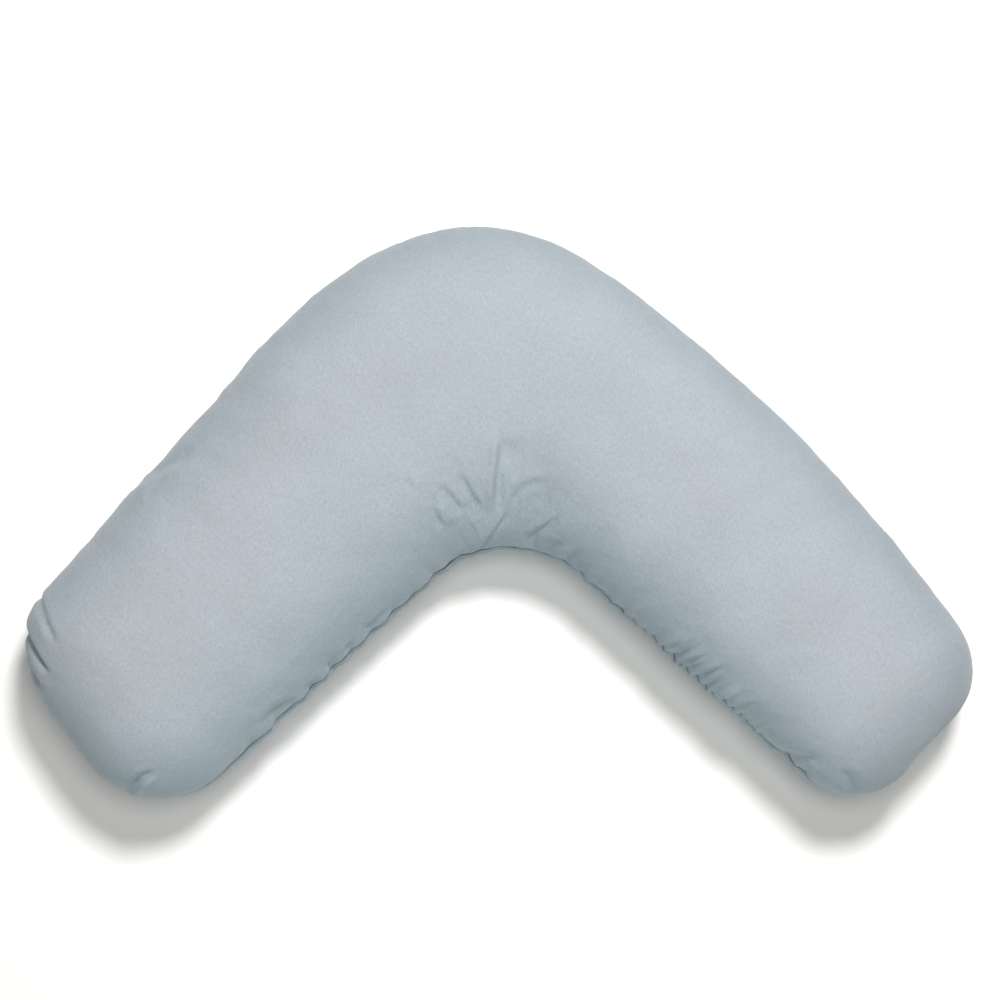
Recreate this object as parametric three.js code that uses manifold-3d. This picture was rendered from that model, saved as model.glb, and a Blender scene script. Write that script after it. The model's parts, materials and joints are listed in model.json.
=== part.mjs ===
// V-shaped nursing pillow: a zipped cotton cover over an inner cushion.
// Millimetres, +Z up. The pillow lies on its flat underside with the open side of the V towards -Y.
import * as THREE from 'three';
import { mergeVertices } from 'three/addons/utils/BufferGeometryUtils.js';
import Module from 'manifold-3d';

const wasm = await Module();
wasm.setup();

const degrees = THREE.MathUtils.degToRad;
const mix = THREE.MathUtils.lerp;

// ---- Driving dimensions: plan of the pillow ----
// Each arm has its own axes: "along" runs from the inner corner of the V out to the arm's end,
// "across" runs from the arm's inner edge to its outer edge.
const leftArmSlope = 43.1;             // degrees below the horizontal
const rightArmSlope = 41.9;
const leftArmReach = 380;              // inner corner to the end of the arm
const rightArmReach = 373;
const leftArmWidth = 230;              // where the shoulder begins
const leftArmTaper = 5.4;              // degrees, towards the arm's end
const rightArmWidth = 203;             // at the widest place
const outerBowRadius = 1224;           // gentle bow of the right arm's outer edge
const outerBowMiddle = 60;             // along the right arm, where the bow is widest
const crotchRadius = 85;               // round inner corner of the V
const shoulderStart = 67;              // along the left arm
const shoulderEnd = -42;               // along the right arm
const shoulderLeftPull = 140;          // how far the shoulder curve follows each arm
const shoulderRightPull = 157;
const endRound = 78;                   // the sides of each arm are straight up to here before its end
const leftEndRadii = { inner: 76, outer: 78 };
const rightEndRadii = { inner: 56, outer: 58 };
const leftCrown = 106;                 // from the outer edge to the highest line of the pillow
const rightCrown = 97;
const elbowCrownGain = 24;

// ---- Driving dimensions: height and walls ----
const pillowHeight = 148;
const girthHeight = 66;                // height of the widest line
const restSag = 8;                     // how far the full form would sink below the rest face
const topRoundness = 2.2;              // 2 is an ellipse, more is fuller
const bottomRoundness = 2.2;
const outerSeamHeight = 38;            // the seam runs low along the outer edge, under the overhang
const innerSeamHeight = 70;            // and at the widest line round the inside of the V
const coverThickness = 1.2;
const casingThickness = 0.8;
const clearance = 0.5;                 // between one layer and the next, above and below
const fillingEase = 1.4;               // round the sides of the filling, inside its casing
const fillingDrop = 0.7;               // above and below the filling
const seamRoom = 6.2;                    // free room behind the cover's seam, for zip and allowances
const panelGap = 0.4;                  // between the top and the bottom panel at the seam
const threadWidth = 0.9;
const threadGap = 0.8;                // the wall leans, so the thread stands a little further off

// ---- Driving dimensions: zip ----
const zipLength = 300;                 // length of the slot in the cover
const zipMiddle = 125;                 // along the right arm
const slotWidth = 10;
const landWidth = 12.5;                // height of the flat land on each side of the seam
const tapeOverlap = 8;                 // tape hidden past each end of the slot
const tapeWidth = 12;
const tapeThickness = 0.6;
const tapeInnerEdge = 0.9;             // from the zip's centre line
const coilInnerEdge = 0.7;
const coilWidth = 1.7;
const coilHeight = 1.8;
const coilChamfer = 0.3;
const touchGap = 0.3;                  // between sewn or sliding faces
const tapeGap = 0.7;                   // between the cover's inside and the tape sewn to it
const tapeBendStart = 1.4;             // the tape bends from the coil to the panel, from here before
const tapeBendStop = 0.4;              // the slot's edge to here past it
const stopLength = 2.5;
const endMargin = 3.2;                 // bare slot past each stop
const stitchInset = 1.4;               // from the slot's edge to the row of stitches
const stitchWidth = 0.5;
const stitchHeight = 0.4;

// ---- Driving dimensions: slider and pull ----
const sliderLength = 10.5;
const sliderNoseWidth = 8;
const sliderTailWidth = 7.4;
const plateThickness = 1;
const plateEase = 0.55;                // under the tapes, which bend down on each side of the coil
const flangeWidth = 0.9;
const postWidth = 0.7;
const postLength = 2.4;
const postSetback = 0.6;               // from the slider's nose
const bridgeLength = 7.6;
const bridgeWidth = 1.6;
const bridgeThickness = 1;
const bridgeLegThickness = 1.2;
const bridgeRoom = 2.4;                // clear height under the bridge
const pullLength = 25;
const pullWidth = 6;
const pullThickness = 1.2;
const pullArmWidth = 1.2;
const pullBarWidth = 1.3;
const pullRoom = 0.7;                  // free room between the pull's arms and the bridge

// ---- Driving dimensions: care label ----
const labelWidth = 26;
const labelLength = 38;
const labelThickness = 0.5;
const labelStation = 2;                // cross-section of the left arm that it hangs at
const labelDrop = 1.5;                 // from the seam's thread to the label's top
const labelLean = 2.2;                 // from the cover's wall to the label's free end

// ---- Facet counts ----
const straightSteps = 5;
const shoulderSteps = 7;
const bowSteps = 13;
const endSteps = 11;
const topBands = 5;
const bottomBands = 3;
const zipSteps = 14;

// ---- Closed solids from faces ----
const weldDistance = 1e-4;

function closedGeometry(faces) {
  const positions = [];
  for (const face of faces) {
    for (let k = 2; k < face.length; k += 1) {
      const corners = [face[0], face[k - 1], face[k]];
      const flat = corners.some((p, i) => p.distanceTo(corners[(i + 1) % 3]) < weldDistance);
      if (!flat) corners.forEach((p) => positions.push(p.x, p.y, p.z));
    }
  }
  const geometry = new THREE.BufferGeometry();
  geometry.setAttribute('position', new THREE.Float32BufferAttribute(positions, 3));
  return mergeVertices(geometry, weldDistance);
}

// Quads between neighbouring rows of points; a closed row joins its last point to its first.
function skinFaces(rows, closed) {
  const faces = [];
  for (let v = 0; v + 1 < rows.length; v += 1) {
    const count = rows[v].length;
    for (let u = 0; u < (closed ? count : count - 1); u += 1) {
      const next = (u + 1) % count;
      faces.push([rows[v][u], rows[v][next], rows[v + 1][next], rows[v + 1][u]]);
    }
  }
  return faces;
}

const reversed = (faces) => faces.map((face) => [...face].reverse());

// A bar whose outline is carried through a list of stations, closed by a cap at each end.
// Point i of an outline lies across the bar from point i before its last, so a cap is a strip of quads.
function capFaces(outline) {
  const faces = [];
  for (let i = 0; i + 1 < outline.length / 2; i += 1) {
    const across = outline.length - 1 - i;
    faces.push([outline[i], outline[i + 1], outline[across - 1], outline[across]]);
  }
  return faces;
}

function loftedBar(stations) {
  const first = stations[0];
  const last = stations[stations.length - 1];
  const rows = first.map((_, i) => stations.map((station) => station[i]));
  rows.push(rows[0]);
  const faces = [...reversed(skinFaces(rows, false)), ...reversed(capFaces(first)), ...capFaces(last)];
  const normal = new THREE.Vector3();
  first.forEach((p, i) => {
    const next = first[(i + 1) % first.length].clone().sub(first[0]);
    normal.add(p.clone().sub(first[0]).cross(next));
  });
  const along = stations[1][0].clone().sub(first[0]);
  return closedGeometry(normal.dot(along) > 0 ? faces : reversed(faces));
}

// ---- Boolean work on closed solids ----
function toSolid(source) {
  const bare = new THREE.BufferGeometry();
  bare.setAttribute('position', source.attributes.position);
  bare.setIndex(source.index);
  const merged = mergeVertices(bare, weldDistance);
  const vertProperties = Float32Array.from(merged.attributes.position.array);
  const triVerts = Uint32Array.from(merged.index.array);
  return new wasm.Manifold(new wasm.Mesh({ numProp: 3, vertProperties, triVerts }));
}

function fromSolid(solid) {
  const mesh = solid.getMesh();
  const geometry = new THREE.BufferGeometry();
  geometry.setAttribute('position', new THREE.BufferAttribute(mesh.vertProperties, 3));
  geometry.setIndex(new THREE.BufferAttribute(mesh.triVerts, 1));
  return geometry;
}

// ---- Plan outline ----
const armAxes = (slope, side) => ({
  along: new THREE.Vector2(side * Math.cos(degrees(slope)), -Math.sin(degrees(slope))),
  across: new THREE.Vector2(side * Math.sin(degrees(slope)), Math.cos(degrees(slope))),
});
const leftArm = armAxes(leftArmSlope, -1);
const rightArm = armAxes(rightArmSlope, 1);

function planPoint(arm, along, across) {
  return new THREE.Vector2().addScaledVector(arm.along, along).addScaledVector(arm.across, across);
}

const leftSideEnd = leftArmReach - endRound;
const rightSideEnd = rightArmReach - endRound + 10;
const leftOuterAcross = (along) => leftArmWidth - (along - shoulderStart) * Math.tan(degrees(leftArmTaper));
const bowCentre = planPoint(rightArm, outerBowMiddle, rightArmWidth - outerBowRadius);
const bowAxisAngle = rightArm.across.angle();
const bowAngle = (along) => bowAxisAngle - Math.asin((along - outerBowMiddle) / outerBowRadius);

function bowPoint(angle, radius) {
  return new THREE.Vector2(Math.cos(angle), Math.sin(angle)).multiplyScalar(radius).add(bowCentre);
}

const leftOuterEnd = planPoint(leftArm, leftSideEnd, leftOuterAcross(leftSideEnd));
const shoulderFirst = planPoint(leftArm, shoulderStart, leftArmWidth);
const leftHeading = shoulderFirst.clone().sub(leftOuterEnd).normalize();
const shoulderLast = bowPoint(bowAngle(shoulderEnd), outerBowRadius);
const rightHeading = new THREE.Vector2(Math.sin(bowAngle(shoulderEnd)), -Math.cos(bowAngle(shoulderEnd)));
const shoulder = new THREE.CubicBezierCurve(
  shoulderFirst,
  shoulderFirst.clone().addScaledVector(leftHeading, shoulderLeftPull),
  shoulderLast.clone().addScaledVector(rightHeading, -shoulderRightPull),
  shoulderLast,
);

// Point of the inner edge at a given length from the left arm's end.
const turn = degrees(leftArmSlope + rightArmSlope);
const tangentLength = crotchRadius * Math.tan(turn / 2);
const crotchLength = crotchRadius * turn;
const leftInnerLength = leftSideEnd - tangentLength;
const rightInnerLength = rightSideEnd - tangentLength;
const innerLength = leftInnerLength + crotchLength + rightInnerLength;
const crotchCentre = planPoint(leftArm, tangentLength, -crotchRadius);

function innerPoint(length) {
  if (length <= leftInnerLength) return planPoint(leftArm, leftSideEnd - length, 0);
  const round = length - leftInnerLength;
  if (round >= crotchLength) return planPoint(rightArm, tangentLength + round - crotchLength, 0);
  const angle = leftArm.across.angle() - round / crotchRadius;
  return new THREE.Vector2(Math.cos(angle), Math.sin(angle)).multiplyScalar(crotchRadius).add(crotchCentre);
}

// The stretch of the inner edge that faces the shoulder.
const crotchFrom = leftInnerLength + crotchLength * 0.09;
const crotchTo = leftInnerLength + crotchLength * 0.72;

// Stations from the left end to the right end: outer edge point, inner edge point and crown point.
function makeStations() {
  const stations = [];
  const add = (outer, inward, crown, inner) => {
    stations.push({ outer, inner: innerPoint(inner), spine: outer.clone().addScaledVector(inward, crown) });
  };
  const leftInward = new THREE.Vector2(leftHeading.y, -leftHeading.x);
  for (let i = 0; i < straightSteps; i += 1) {
    const share = i / straightSteps;
    add(leftOuterEnd.clone().lerp(shoulderFirst, share), leftInward, leftCrown, share * crotchFrom);
  }
  for (let i = 0; i < shoulderSteps; i += 1) {
    const share = i / shoulderSteps;
    const heading = shoulder.getTangentAt(share);
    const crown = mix(leftCrown, rightCrown, share) + elbowCrownGain * Math.sin(Math.PI * share) ** 2;
    const inward = new THREE.Vector2(heading.y, -heading.x);
    add(shoulder.getPointAt(share), inward, crown, mix(crotchFrom, crotchTo, share));
  }
  for (let i = 0; i <= bowSteps; i += 1) {
    const share = i / bowSteps;
    const angle = mix(bowAngle(shoulderEnd), bowAngle(rightSideEnd), share);
    const inward = new THREE.Vector2(-Math.cos(angle), -Math.sin(angle));
    add(bowPoint(angle, outerBowRadius), inward, rightCrown, mix(crotchTo, innerLength, share));
  }
  return stations;
}
const stations = makeStations();

// Rounded end of an arm, from its inner side to its outer side.
function endOutline(arm, reach, outerAtReach, radii, first, last) {
  const corners = [
    { at: planPoint(arm, reach, 0), radius: radii.inner },
    { at: planPoint(arm, reach, outerAtReach), radius: radii.outer },
  ];
  const ways = [first, corners[0].at, corners[1].at, last];
  const path = new THREE.CurvePath();
  let from = first;
  corners.forEach(({ at, radius }, i) => {
    const back = ways[i].clone().sub(at).normalize();
    const ahead = ways[i + 2].clone().sub(at).normalize();
    const half = Math.acos(back.dot(ahead)) / 2;
    const start = at.clone().addScaledVector(back, radius / Math.tan(half));
    const stop = at.clone().addScaledVector(ahead, radius / Math.tan(half));
    const centre = back.clone().add(ahead).setLength(radius / Math.sin(half)).add(at);
    const startAngle = start.clone().sub(centre).angle();
    const stopAngle = stop.clone().sub(centre).angle();
    const clockwise = back.cross(ahead) > 0;
    path.add(new THREE.LineCurve(from, start));
    path.add(new THREE.EllipseCurve(centre.x, centre.y, radius, radius, startAngle, stopAngle, clockwise));
    from = stop;
  });
  path.add(new THREE.LineCurve(from, last));
  return path.getSpacedPoints(endSteps);
}

// The whole edge, anticlockwise from above. Each point knows its crown point and its seam height.
function makeEdge() {
  const edge = [];
  const last = stations.length - 1;
  for (const { inner, spine } of stations) edge.push({ at: inner, spine, seam: innerSeamHeight });
  const addEnd = (points, spine, fromSeam, toSeam) => {
    for (let i = 1; i < endSteps; i += 1) {
      const share = THREE.MathUtils.smoothstep(i / endSteps, 0, 1);
      edge.push({ at: points[i], spine, seam: mix(fromSeam, toSeam, share) });
    }
  };
  const rightOuterAcross = Math.sqrt(outerBowRadius ** 2 - (rightArmReach - outerBowMiddle) ** 2)
    + rightArmWidth - outerBowRadius;
  const right = stations[last];
  const rightEnd = endOutline(
    rightArm, rightArmReach, rightOuterAcross, rightEndRadii, right.inner, right.outer,
  );
  addEnd(rightEnd, right.spine, innerSeamHeight, outerSeamHeight);
  for (let i = last; i >= 0; i -= 1) {
    edge.push({ at: stations[i].outer, spine: stations[i].spine, seam: outerSeamHeight, station: i });
  }
  const left = stations[0];
  const leftEnd = endOutline(
    leftArm, leftArmReach, leftOuterAcross(leftArmReach), leftEndRadii, left.inner, left.outer,
  );
  addEnd(leftEnd.reverse(), left.spine, outerSeamHeight, innerSeamHeight);
  return edge;
}
const edge = makeEdge();

// ---- Cross-section of the pillow ----
// A layer is the pillow's form made smaller: "side" all round and "face" above and below.
const coverOuter = { side: 0, face: 0 };
const inset = (layer, side, face) => ({ side: layer.side + side, face: layer.face + face });
const coverInner = inset(coverOuter, coverThickness, coverThickness);
const casingOuter = inset(coverInner, seamRoom, clearance);
const casingInner = inset(casingOuter, casingThickness, casingThickness);
const fillingOuter = inset(casingInner, fillingEase, fillingDrop);

const topRise = (layer) => pillowHeight - girthHeight - layer.face;
const bottomDrop = (layer) => girthHeight + restSag - layer.face;

// Angle round the section at a height: 90 degrees is the crown, negative is below the widest line.
function heightAngle(height, layer) {
  if (height >= girthHeight) {
    return Math.asin(((height - girthHeight) / topRise(layer)) ** (topRoundness / 2));
  }
  return -Math.asin(((girthHeight - height) / bottomDrop(layer)) ** (bottomRoundness / 2));
}

function sectionPoint(place, angle, layer) {
  const reach = place.at.distanceTo(place.spine) - layer.side;
  const roundness = angle >= 0 ? topRoundness : bottomRoundness;
  const out = reach * Math.max(Math.cos(angle), 0) ** (2 / roundness);
  const swing = Math.abs(Math.sin(angle)) ** (2 / roundness);
  const height = angle >= 0 ? girthHeight + topRise(layer) * swing : girthHeight - bottomDrop(layer) * swing;
  const flat = place.at.clone().sub(place.spine).setLength(out).add(place.spine);
  return new THREE.Vector3(flat.x, flat.y, height);
}

const crownPoint = (place, height) => new THREE.Vector3(place.spine.x, place.spine.y, height);

// Rows of points from the seam to the crown, or from the seam to the middle of the rest face.
function topRows(layer, gap) {
  const rim = edge.map((place) => heightAngle(place.seam + gap, layer));
  const first = edge.map((place) => heightAngle(place.seam + gap + landWidth, layer));
  const rows = [edge.map((place, u) => sectionPoint(place, rim[u], layer))];
  for (let k = 0; k < topBands; k += 1) {
    rows.push(edge.map((place, u) => sectionPoint(place, mix(first[u], Math.PI / 2, k / topBands), layer)));
  }
  rows.push(edge.map((place) => crownPoint(place, pillowHeight - layer.face)));
  return rows;
}

function bottomRows(layer, gap) {
  const rim = edge.map((place) => heightAngle(place.seam - gap, layer));
  const first = edge.map((place) => heightAngle(place.seam - gap - landWidth, layer));
  const rest = heightAngle(layer.face, layer);
  const rows = [edge.map((place, u) => sectionPoint(place, rim[u], layer))];
  for (let k = 0; k <= bottomBands; k += 1) {
    rows.push(edge.map((place, u) => sectionPoint(place, mix(first[u], rest, k / bottomBands), layer)));
  }
  rows.push(edge.map((place) => crownPoint(place, layer.face)));
  return rows;
}

// A panel is the room between two layers, from the seam to the crown or to the rest face.
function panelGeometry(rowsOf, outer, inner, facesUp) {
  const outerRows = rowsOf(outer, panelGap / 2);
  const innerRows = rowsOf(inner, panelGap / 2);
  const rim = skinFaces([innerRows[0], outerRows[0]], true);
  const faces = [...skinFaces(outerRows, true), ...reversed(skinFaces(innerRows, true)), ...rim];
  return closedGeometry(facesUp ? faces : reversed(faces));
}

function fillingGeometry() {
  const upperRows = topRows(fillingOuter, panelGap / 2);
  const lowerRows = bottomRows(fillingOuter, panelGap / 2);
  const girth = skinFaces([lowerRows[0], upperRows[0]], true);
  return closedGeometry([...skinFaces(upperRows, true), ...girth, ...reversed(skinFaces(lowerRows, true))]);
}

// ---- Zip: everything is carried round the bow's centre ----
function wallPoint(height) {
  const place = { at: new THREE.Vector2(rightCrown, 0), spine: new THREE.Vector2(0, 0) };
  const point = sectionPoint(place, heightAngle(height, coverOuter), coverOuter);
  return new THREE.Vector2(outerBowRadius - rightCrown + point.x, height);
}

// Axes of the wall at the seam: t goes up the wall and n goes outwards, both in the (radius, Z) plane.
function wallAxes(from, to) {
  const t = to.clone().sub(from).normalize();
  return { t, n: new THREE.Vector2(t.y, -t.x) };
}
const seamPoint = wallPoint(outerSeamHeight);
const middleAxes = wallAxes(wallPoint(outerSeamHeight - slotWidth / 2), wallPoint(outerSeamHeight + slotWidth / 2));
const upperAxes = wallAxes(seamPoint, wallPoint(outerSeamHeight + landWidth));
const lowerAxes = wallAxes(wallPoint(outerSeamHeight - landWidth), seamPoint);
const inWall = (axes, t, n) => seamPoint.clone().addScaledVector(axes.t, t).addScaledVector(axes.n, n);

const zipMiddleAngle = bowAngle(zipMiddle);
const bowTurn = (length) => length / seamPoint.x;

// A bar with a section in (radius, Z), from one angle to another round the bow's centre.
function bowBar(section, fromLength, toLength) {
  const rings = [];
  for (let i = 0; i <= zipSteps; i += 1) {
    const angle = zipMiddleAngle + bowTurn(mix(fromLength, toLength, i / zipSteps));
    rings.push(section.map((p) => {
      const flat = bowPoint(angle, p.x);
      return new THREE.Vector3(flat.x, flat.y, p.y);
    }));
  }
  return loftedBar(rings);
}

const halfSlot = zipLength / 2;
const coilEnd = halfSlot - endMargin - stopLength - touchGap;
const tapeTop = -coverThickness - tapeGap;
const tapeBottom = tapeTop - tapeThickness;
const coilBottom = tapeTop + touchGap;
const coilTop = coilBottom + coilHeight;
const coilOuterEdge = coilInnerEdge + coilWidth;

const wallRectangle = (axes, t0, t1, n0, n1) => [
  inWall(axes, t0, n0), inWall(axes, t1, n0), inWall(axes, t1, n1), inWall(axes, t0, n1),
];

function slotCutter() {
  const depth = seamRoom + coverThickness;
  const section = wallRectangle(middleAxes, -slotWidth / 2, slotWidth / 2, -depth, depth);
  return toSolid(bowBar(section, -halfSlot, halfSlot));
}

// The tape lies flat under the coil and then follows the inside of its cover panel.
function tapeGeometry(side, axes) {
  const bendStart = slotWidth / 2 - tapeBendStart;
  const bendStop = slotWidth / 2 + tapeBendStop;
  const end = tapeInnerEdge + tapeWidth;
  const section = [
    inWall(middleAxes, side * tapeInnerEdge, tapeBottom),
    inWall(middleAxes, side * bendStart, tapeBottom),
    inWall(axes, side * bendStop, tapeBottom),
    inWall(axes, side * end, tapeBottom),
    inWall(axes, side * end, tapeTop),
    inWall(axes, side * bendStop, tapeTop),
    inWall(middleAxes, side * bendStart, tapeTop),
    inWall(middleAxes, side * tapeInnerEdge, tapeTop),
  ];
  return bowBar(section, -halfSlot - tapeOverlap, halfSlot + tapeOverlap);
}

function coilGeometry(side) {
  const section = [
    [coilInnerEdge + coilChamfer, coilBottom],
    [coilOuterEdge - coilChamfer, coilBottom],
    [coilOuterEdge, coilBottom + coilChamfer],
    [coilOuterEdge, coilTop - coilChamfer],
    [coilOuterEdge - coilChamfer, coilTop],
    [coilInnerEdge + coilChamfer, coilTop],
    [coilInnerEdge, coilTop - coilChamfer],
    [coilInnerEdge, coilBottom + coilChamfer],
  ].map(([t, n]) => inWall(middleAxes, side * t, n));
  return bowBar(section, -coilEnd, coilEnd);
}

function stitchGeometry(side, axes) {
  const t = slotWidth / 2 + stitchInset;
  const section = wallRectangle(axes, side * t, side * (t + stitchWidth), touchGap, touchGap + stitchHeight);
  return bowBar(section, -halfSlot, halfSlot);
}

function topStopGeometry(side) {
  const section = wallRectangle(middleAxes, side * coilInnerEdge, side * coilOuterEdge, coilBottom, coilTop);
  return bowBar(section, coilEnd + touchGap, coilEnd + touchGap + stopLength);
}

function bottomStopGeometry() {
  const section = wallRectangle(middleAxes, -coilOuterEdge, coilOuterEdge, coilBottom, coilTop);
  return bowBar(section, -coilEnd - touchGap - stopLength, -coilEnd - touchGap);
}

// ---- Slider and pull, in their own axes: X along the zip, Y up the wall, Z outwards ----
const topPlateBottom = coilTop + touchGap;
const topPlateTop = topPlateBottom + plateThickness;
const bottomPlateTop = tapeBottom - plateEase;
const bridgeUnderside = topPlateTop + bridgeRoom;
const pullAxisHeight = topPlateTop + bridgeRoom / 2;
const flangeInner = coilOuterEdge + touchGap + 0.1;

function plate(shape, z0, z1) {
  const settings = { depth: z1 - z0, bevelEnabled: false, curveSegments: 3 };
  const geometry = new THREE.ExtrudeGeometry(shape, settings);
  return geometry.translate(0, 0, z0);
}

function block(x0, x1, y0, y1, z0, z1) {
  const geometry = new THREE.BoxGeometry(x1 - x0, y1 - y0, z1 - z0);
  return geometry.translate((x0 + x1) / 2, (y0 + y1) / 2, (z0 + z1) / 2);
}

function bare(geometry) {
  geometry.deleteAttribute('normal');
  geometry.deleteAttribute('uv');
  return toSolid(mergeVertices(geometry, weldDistance));
}

function sliderOutline() {
  const nose = sliderLength / 2;
  const corner = 1.5;
  const shape = new THREE.Shape();
  shape.moveTo(-nose, -sliderTailWidth / 2);
  shape.lineTo(nose - corner, -sliderNoseWidth / 2);
  shape.quadraticCurveTo(nose, -sliderNoseWidth / 2, nose, -sliderNoseWidth / 2 + corner);
  shape.lineTo(nose, sliderNoseWidth / 2 - corner);
  shape.quadraticCurveTo(nose, sliderNoseWidth / 2, nose - corner, sliderNoseWidth / 2);
  shape.lineTo(-nose, sliderTailWidth / 2);
  return shape;
}

function sliderGeometry() {
  const outline = sliderOutline();
  const half = sliderLength / 2;
  const sink = 0.01;
  const topPlate = bare(plate(outline, topPlateBottom, topPlateTop));
  const bottomPlate = bare(plate(outline, bottomPlateTop - plateThickness, bottomPlateTop));
  const flanges = bare(plate(outline, tapeTop + touchGap, topPlateBottom + sink))
    .subtract(bare(block(-half - 1, half + 1, -flangeInner, flangeInner, tapeTop, topPlateTop)));
  const post = bare(block(
    half - postSetback - postLength, half - postSetback, -postWidth / 2, postWidth / 2,
    bottomPlateTop - sink, topPlateBottom + sink,
  ));
  const bridgeTop = bridgeUnderside + bridgeThickness;
  const arch = bare(block(
    -bridgeLength / 2, bridgeLength / 2, -bridgeWidth / 2, bridgeWidth / 2, topPlateTop - sink, bridgeTop,
  ));
  const underArch = bare(block(
    -bridgeLength / 2 + bridgeLegThickness, bridgeLength / 2 - bridgeLegThickness,
    -bridgeWidth, bridgeWidth, topPlateTop, bridgeUnderside,
  ));
  return fromSolid(topPlate.add(bottomPlate).add(flanges).add(post).add(arch.subtract(underArch)));
}

// The pull is a flat loop round the bridge with a tongue; it lies towards -X at rest.
function pullGeometry() {
  const windowHalf = bridgeWidth / 2 + pullRoom;
  const armOuter = windowHalf + pullArmWidth;
  const legReach = Math.hypot(bridgeLength / 2, bridgeUnderside + bridgeThickness - pullAxisHeight);
  const windowEnd = legReach + pullThickness / 2 + touchGap;
  const round = pullWidth / 2;
  const shape = new THREE.Shape();
  shape.moveTo(pullBarWidth / 2, -armOuter);
  shape.lineTo(pullBarWidth / 2, armOuter);
  shape.lineTo(-windowEnd, armOuter);
  shape.lineTo(-windowEnd - pullArmWidth, round);
  shape.lineTo(-pullLength + round, round);
  shape.absarc(-pullLength + round, 0, round, Math.PI / 2, Math.PI * 1.5, false);
  shape.lineTo(-windowEnd - pullArmWidth, -round);
  shape.lineTo(-windowEnd, -armOuter);
  const opening = new THREE.Path();
  opening.moveTo(-pullBarWidth / 2, -windowHalf);
  opening.lineTo(-windowEnd, -windowHalf);
  opening.lineTo(-windowEnd, windowHalf);
  opening.lineTo(-pullBarWidth / 2, windowHalf);
  shape.holes.push(opening);
  const tongueSlot = new THREE.Path();
  const slotHalf = round * 0.4;
  tongueSlot.absarc(-pullLength + round, 0, slotHalf, 0, Math.PI * 2, true);
  shape.holes.push(tongueSlot);
  const settings = { depth: pullThickness, bevelEnabled: false, curveSegments: 8 };
  return new THREE.ExtrudeGeometry(shape, settings).translate(0, 0, -pullThickness / 2);
}

// Group whose X runs along the zip, Y up the wall and Z outwards, at a length from the zip's middle.
function zipGroup(length) {
  const angle = zipMiddleAngle + bowTurn(length);
  const radial = new THREE.Vector3(Math.cos(angle), Math.sin(angle), 0);
  const up = new THREE.Vector3(0, 0, 1);
  const x = new THREE.Vector3(-Math.sin(angle), Math.cos(angle), 0);
  const y = radial.clone().multiplyScalar(middleAxes.t.x).addScaledVector(up, middleAxes.t.y);
  const z = radial.clone().multiplyScalar(middleAxes.n.x).addScaledVector(up, middleAxes.n.y);
  const group = new THREE.Group();
  const flat = bowPoint(angle, seamPoint.x);
  group.quaternion.setFromRotationMatrix(new THREE.Matrix4().makeBasis(x, y, z));
  group.position.set(flat.x, flat.y, seamPoint.y);
  return group;
}

// ---- Threads that close the seams, and the care label ----
// A thread follows the seam behind its panels, from one place of the edge round to another.
function threadGeometry(side, places) {
  const rings = places.map((place) => {
    const layer = { side, face: 0 };
    const half = threadWidth / 2;
    const corners = [[0, -half], [0, half], [threadWidth, half], [threadWidth, -half]];
    return corners.map(([depth, rise]) => {
      const point = sectionPoint(place, heightAngle(place.seam, layer), inset(layer, depth, 0));
      point.z = place.seam + rise;
      return point;
    });
  });
  return loftedBar(rings);
}

// The cover's thread leaves out the stretch that the zip closes.
function coverThreadPlaces() {
  const tapeHalf = halfSlot + tapeOverlap + touchGap;
  const placeLength = ({ at }) => (at.clone().sub(bowCentre).angle() - zipMiddleAngle) * seamPoint.x;
  const onZip = (place) => place.station !== undefined && Math.abs(placeLength(place)) < tapeHalf
    && place.station >= straightSteps + shoulderSteps;
  const first = edge.findLastIndex(onZip) + 1;
  const round = [...edge.slice(first), ...edge.slice(0, first)];
  return round.filter((place) => !onZip(place));
}

// The label hangs from the seam into the free room behind the cover.
function labelGeometry() {
  const near = stations[labelStation];
  const middle = labelStation / straightSteps * crotchFrom;
  const sides = [-labelWidth / 2, labelWidth / 2].map((shift) => {
    const at = innerPoint(middle + shift);
    return { at, spine: at.clone().sub(near.inner).add(near.spine) };
  });
  const bands = 3;
  const rings = [];
  for (let k = 0; k <= bands; k += 1) {
    const height = innerSeamHeight - labelDrop - labelLength * (k / bands);
    const gap = mix(threadGap, labelLean, Math.min(1.5 * k / bands, 1));
    rings.push([
      [sides[0], gap], [sides[1], gap], [sides[1], gap + labelThickness], [sides[0], gap + labelThickness],
    ].map(([place, depth]) => {
      const layer = inset(coverInner, depth, depth);
      return sectionPoint(place, heightAngle(height, layer), layer);
    }));
  }
  return loftedBar(rings);
}

// ---- Materials ----
const material = (color, roughness, metalness = 0) => new THREE.MeshStandardMaterial({
  color, roughness, metalness, side: THREE.DoubleSide,
});
const coverCloth = () => material('#aab6bf', 0.9);
const casingCloth = () => material('#f1efe9', 0.85);
const zipTapeCloth = () => material('#98a6b0', 0.85);
const zipNylon = () => material('#8d9ba6', 0.45);
const zipMetal = () => material('#b4b7ba', 0.3, 1);
const sewingThread = () => material('#9fabb5', 0.7);

function addPiece(parent, name, geometry, look) {
  geometry.computeVertexNormals();
  const mesh = new THREE.Mesh(geometry, look);
  mesh.name = name;
  parent.add(mesh);
}

// ---- Assembly ----
const pillow = new THREE.Group();
pillow.name = 'nursing_pillow';

const cutter = slotCutter();
const topPanel = toSolid(panelGeometry(topRows, coverOuter, coverInner, true));
const bottomPanel = toSolid(panelGeometry(bottomRows, coverOuter, coverInner, false));
addPiece(pillow, 'cover_top_panel', fromSolid(topPanel.subtract(cutter)), coverCloth());
addPiece(pillow, 'cover_bottom_panel', fromSolid(bottomPanel.subtract(cutter)), coverCloth());
addPiece(pillow, 'cover_seam_thread', threadGeometry(coverInner.side + threadGap, coverThreadPlaces()), sewingThread());

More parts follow.
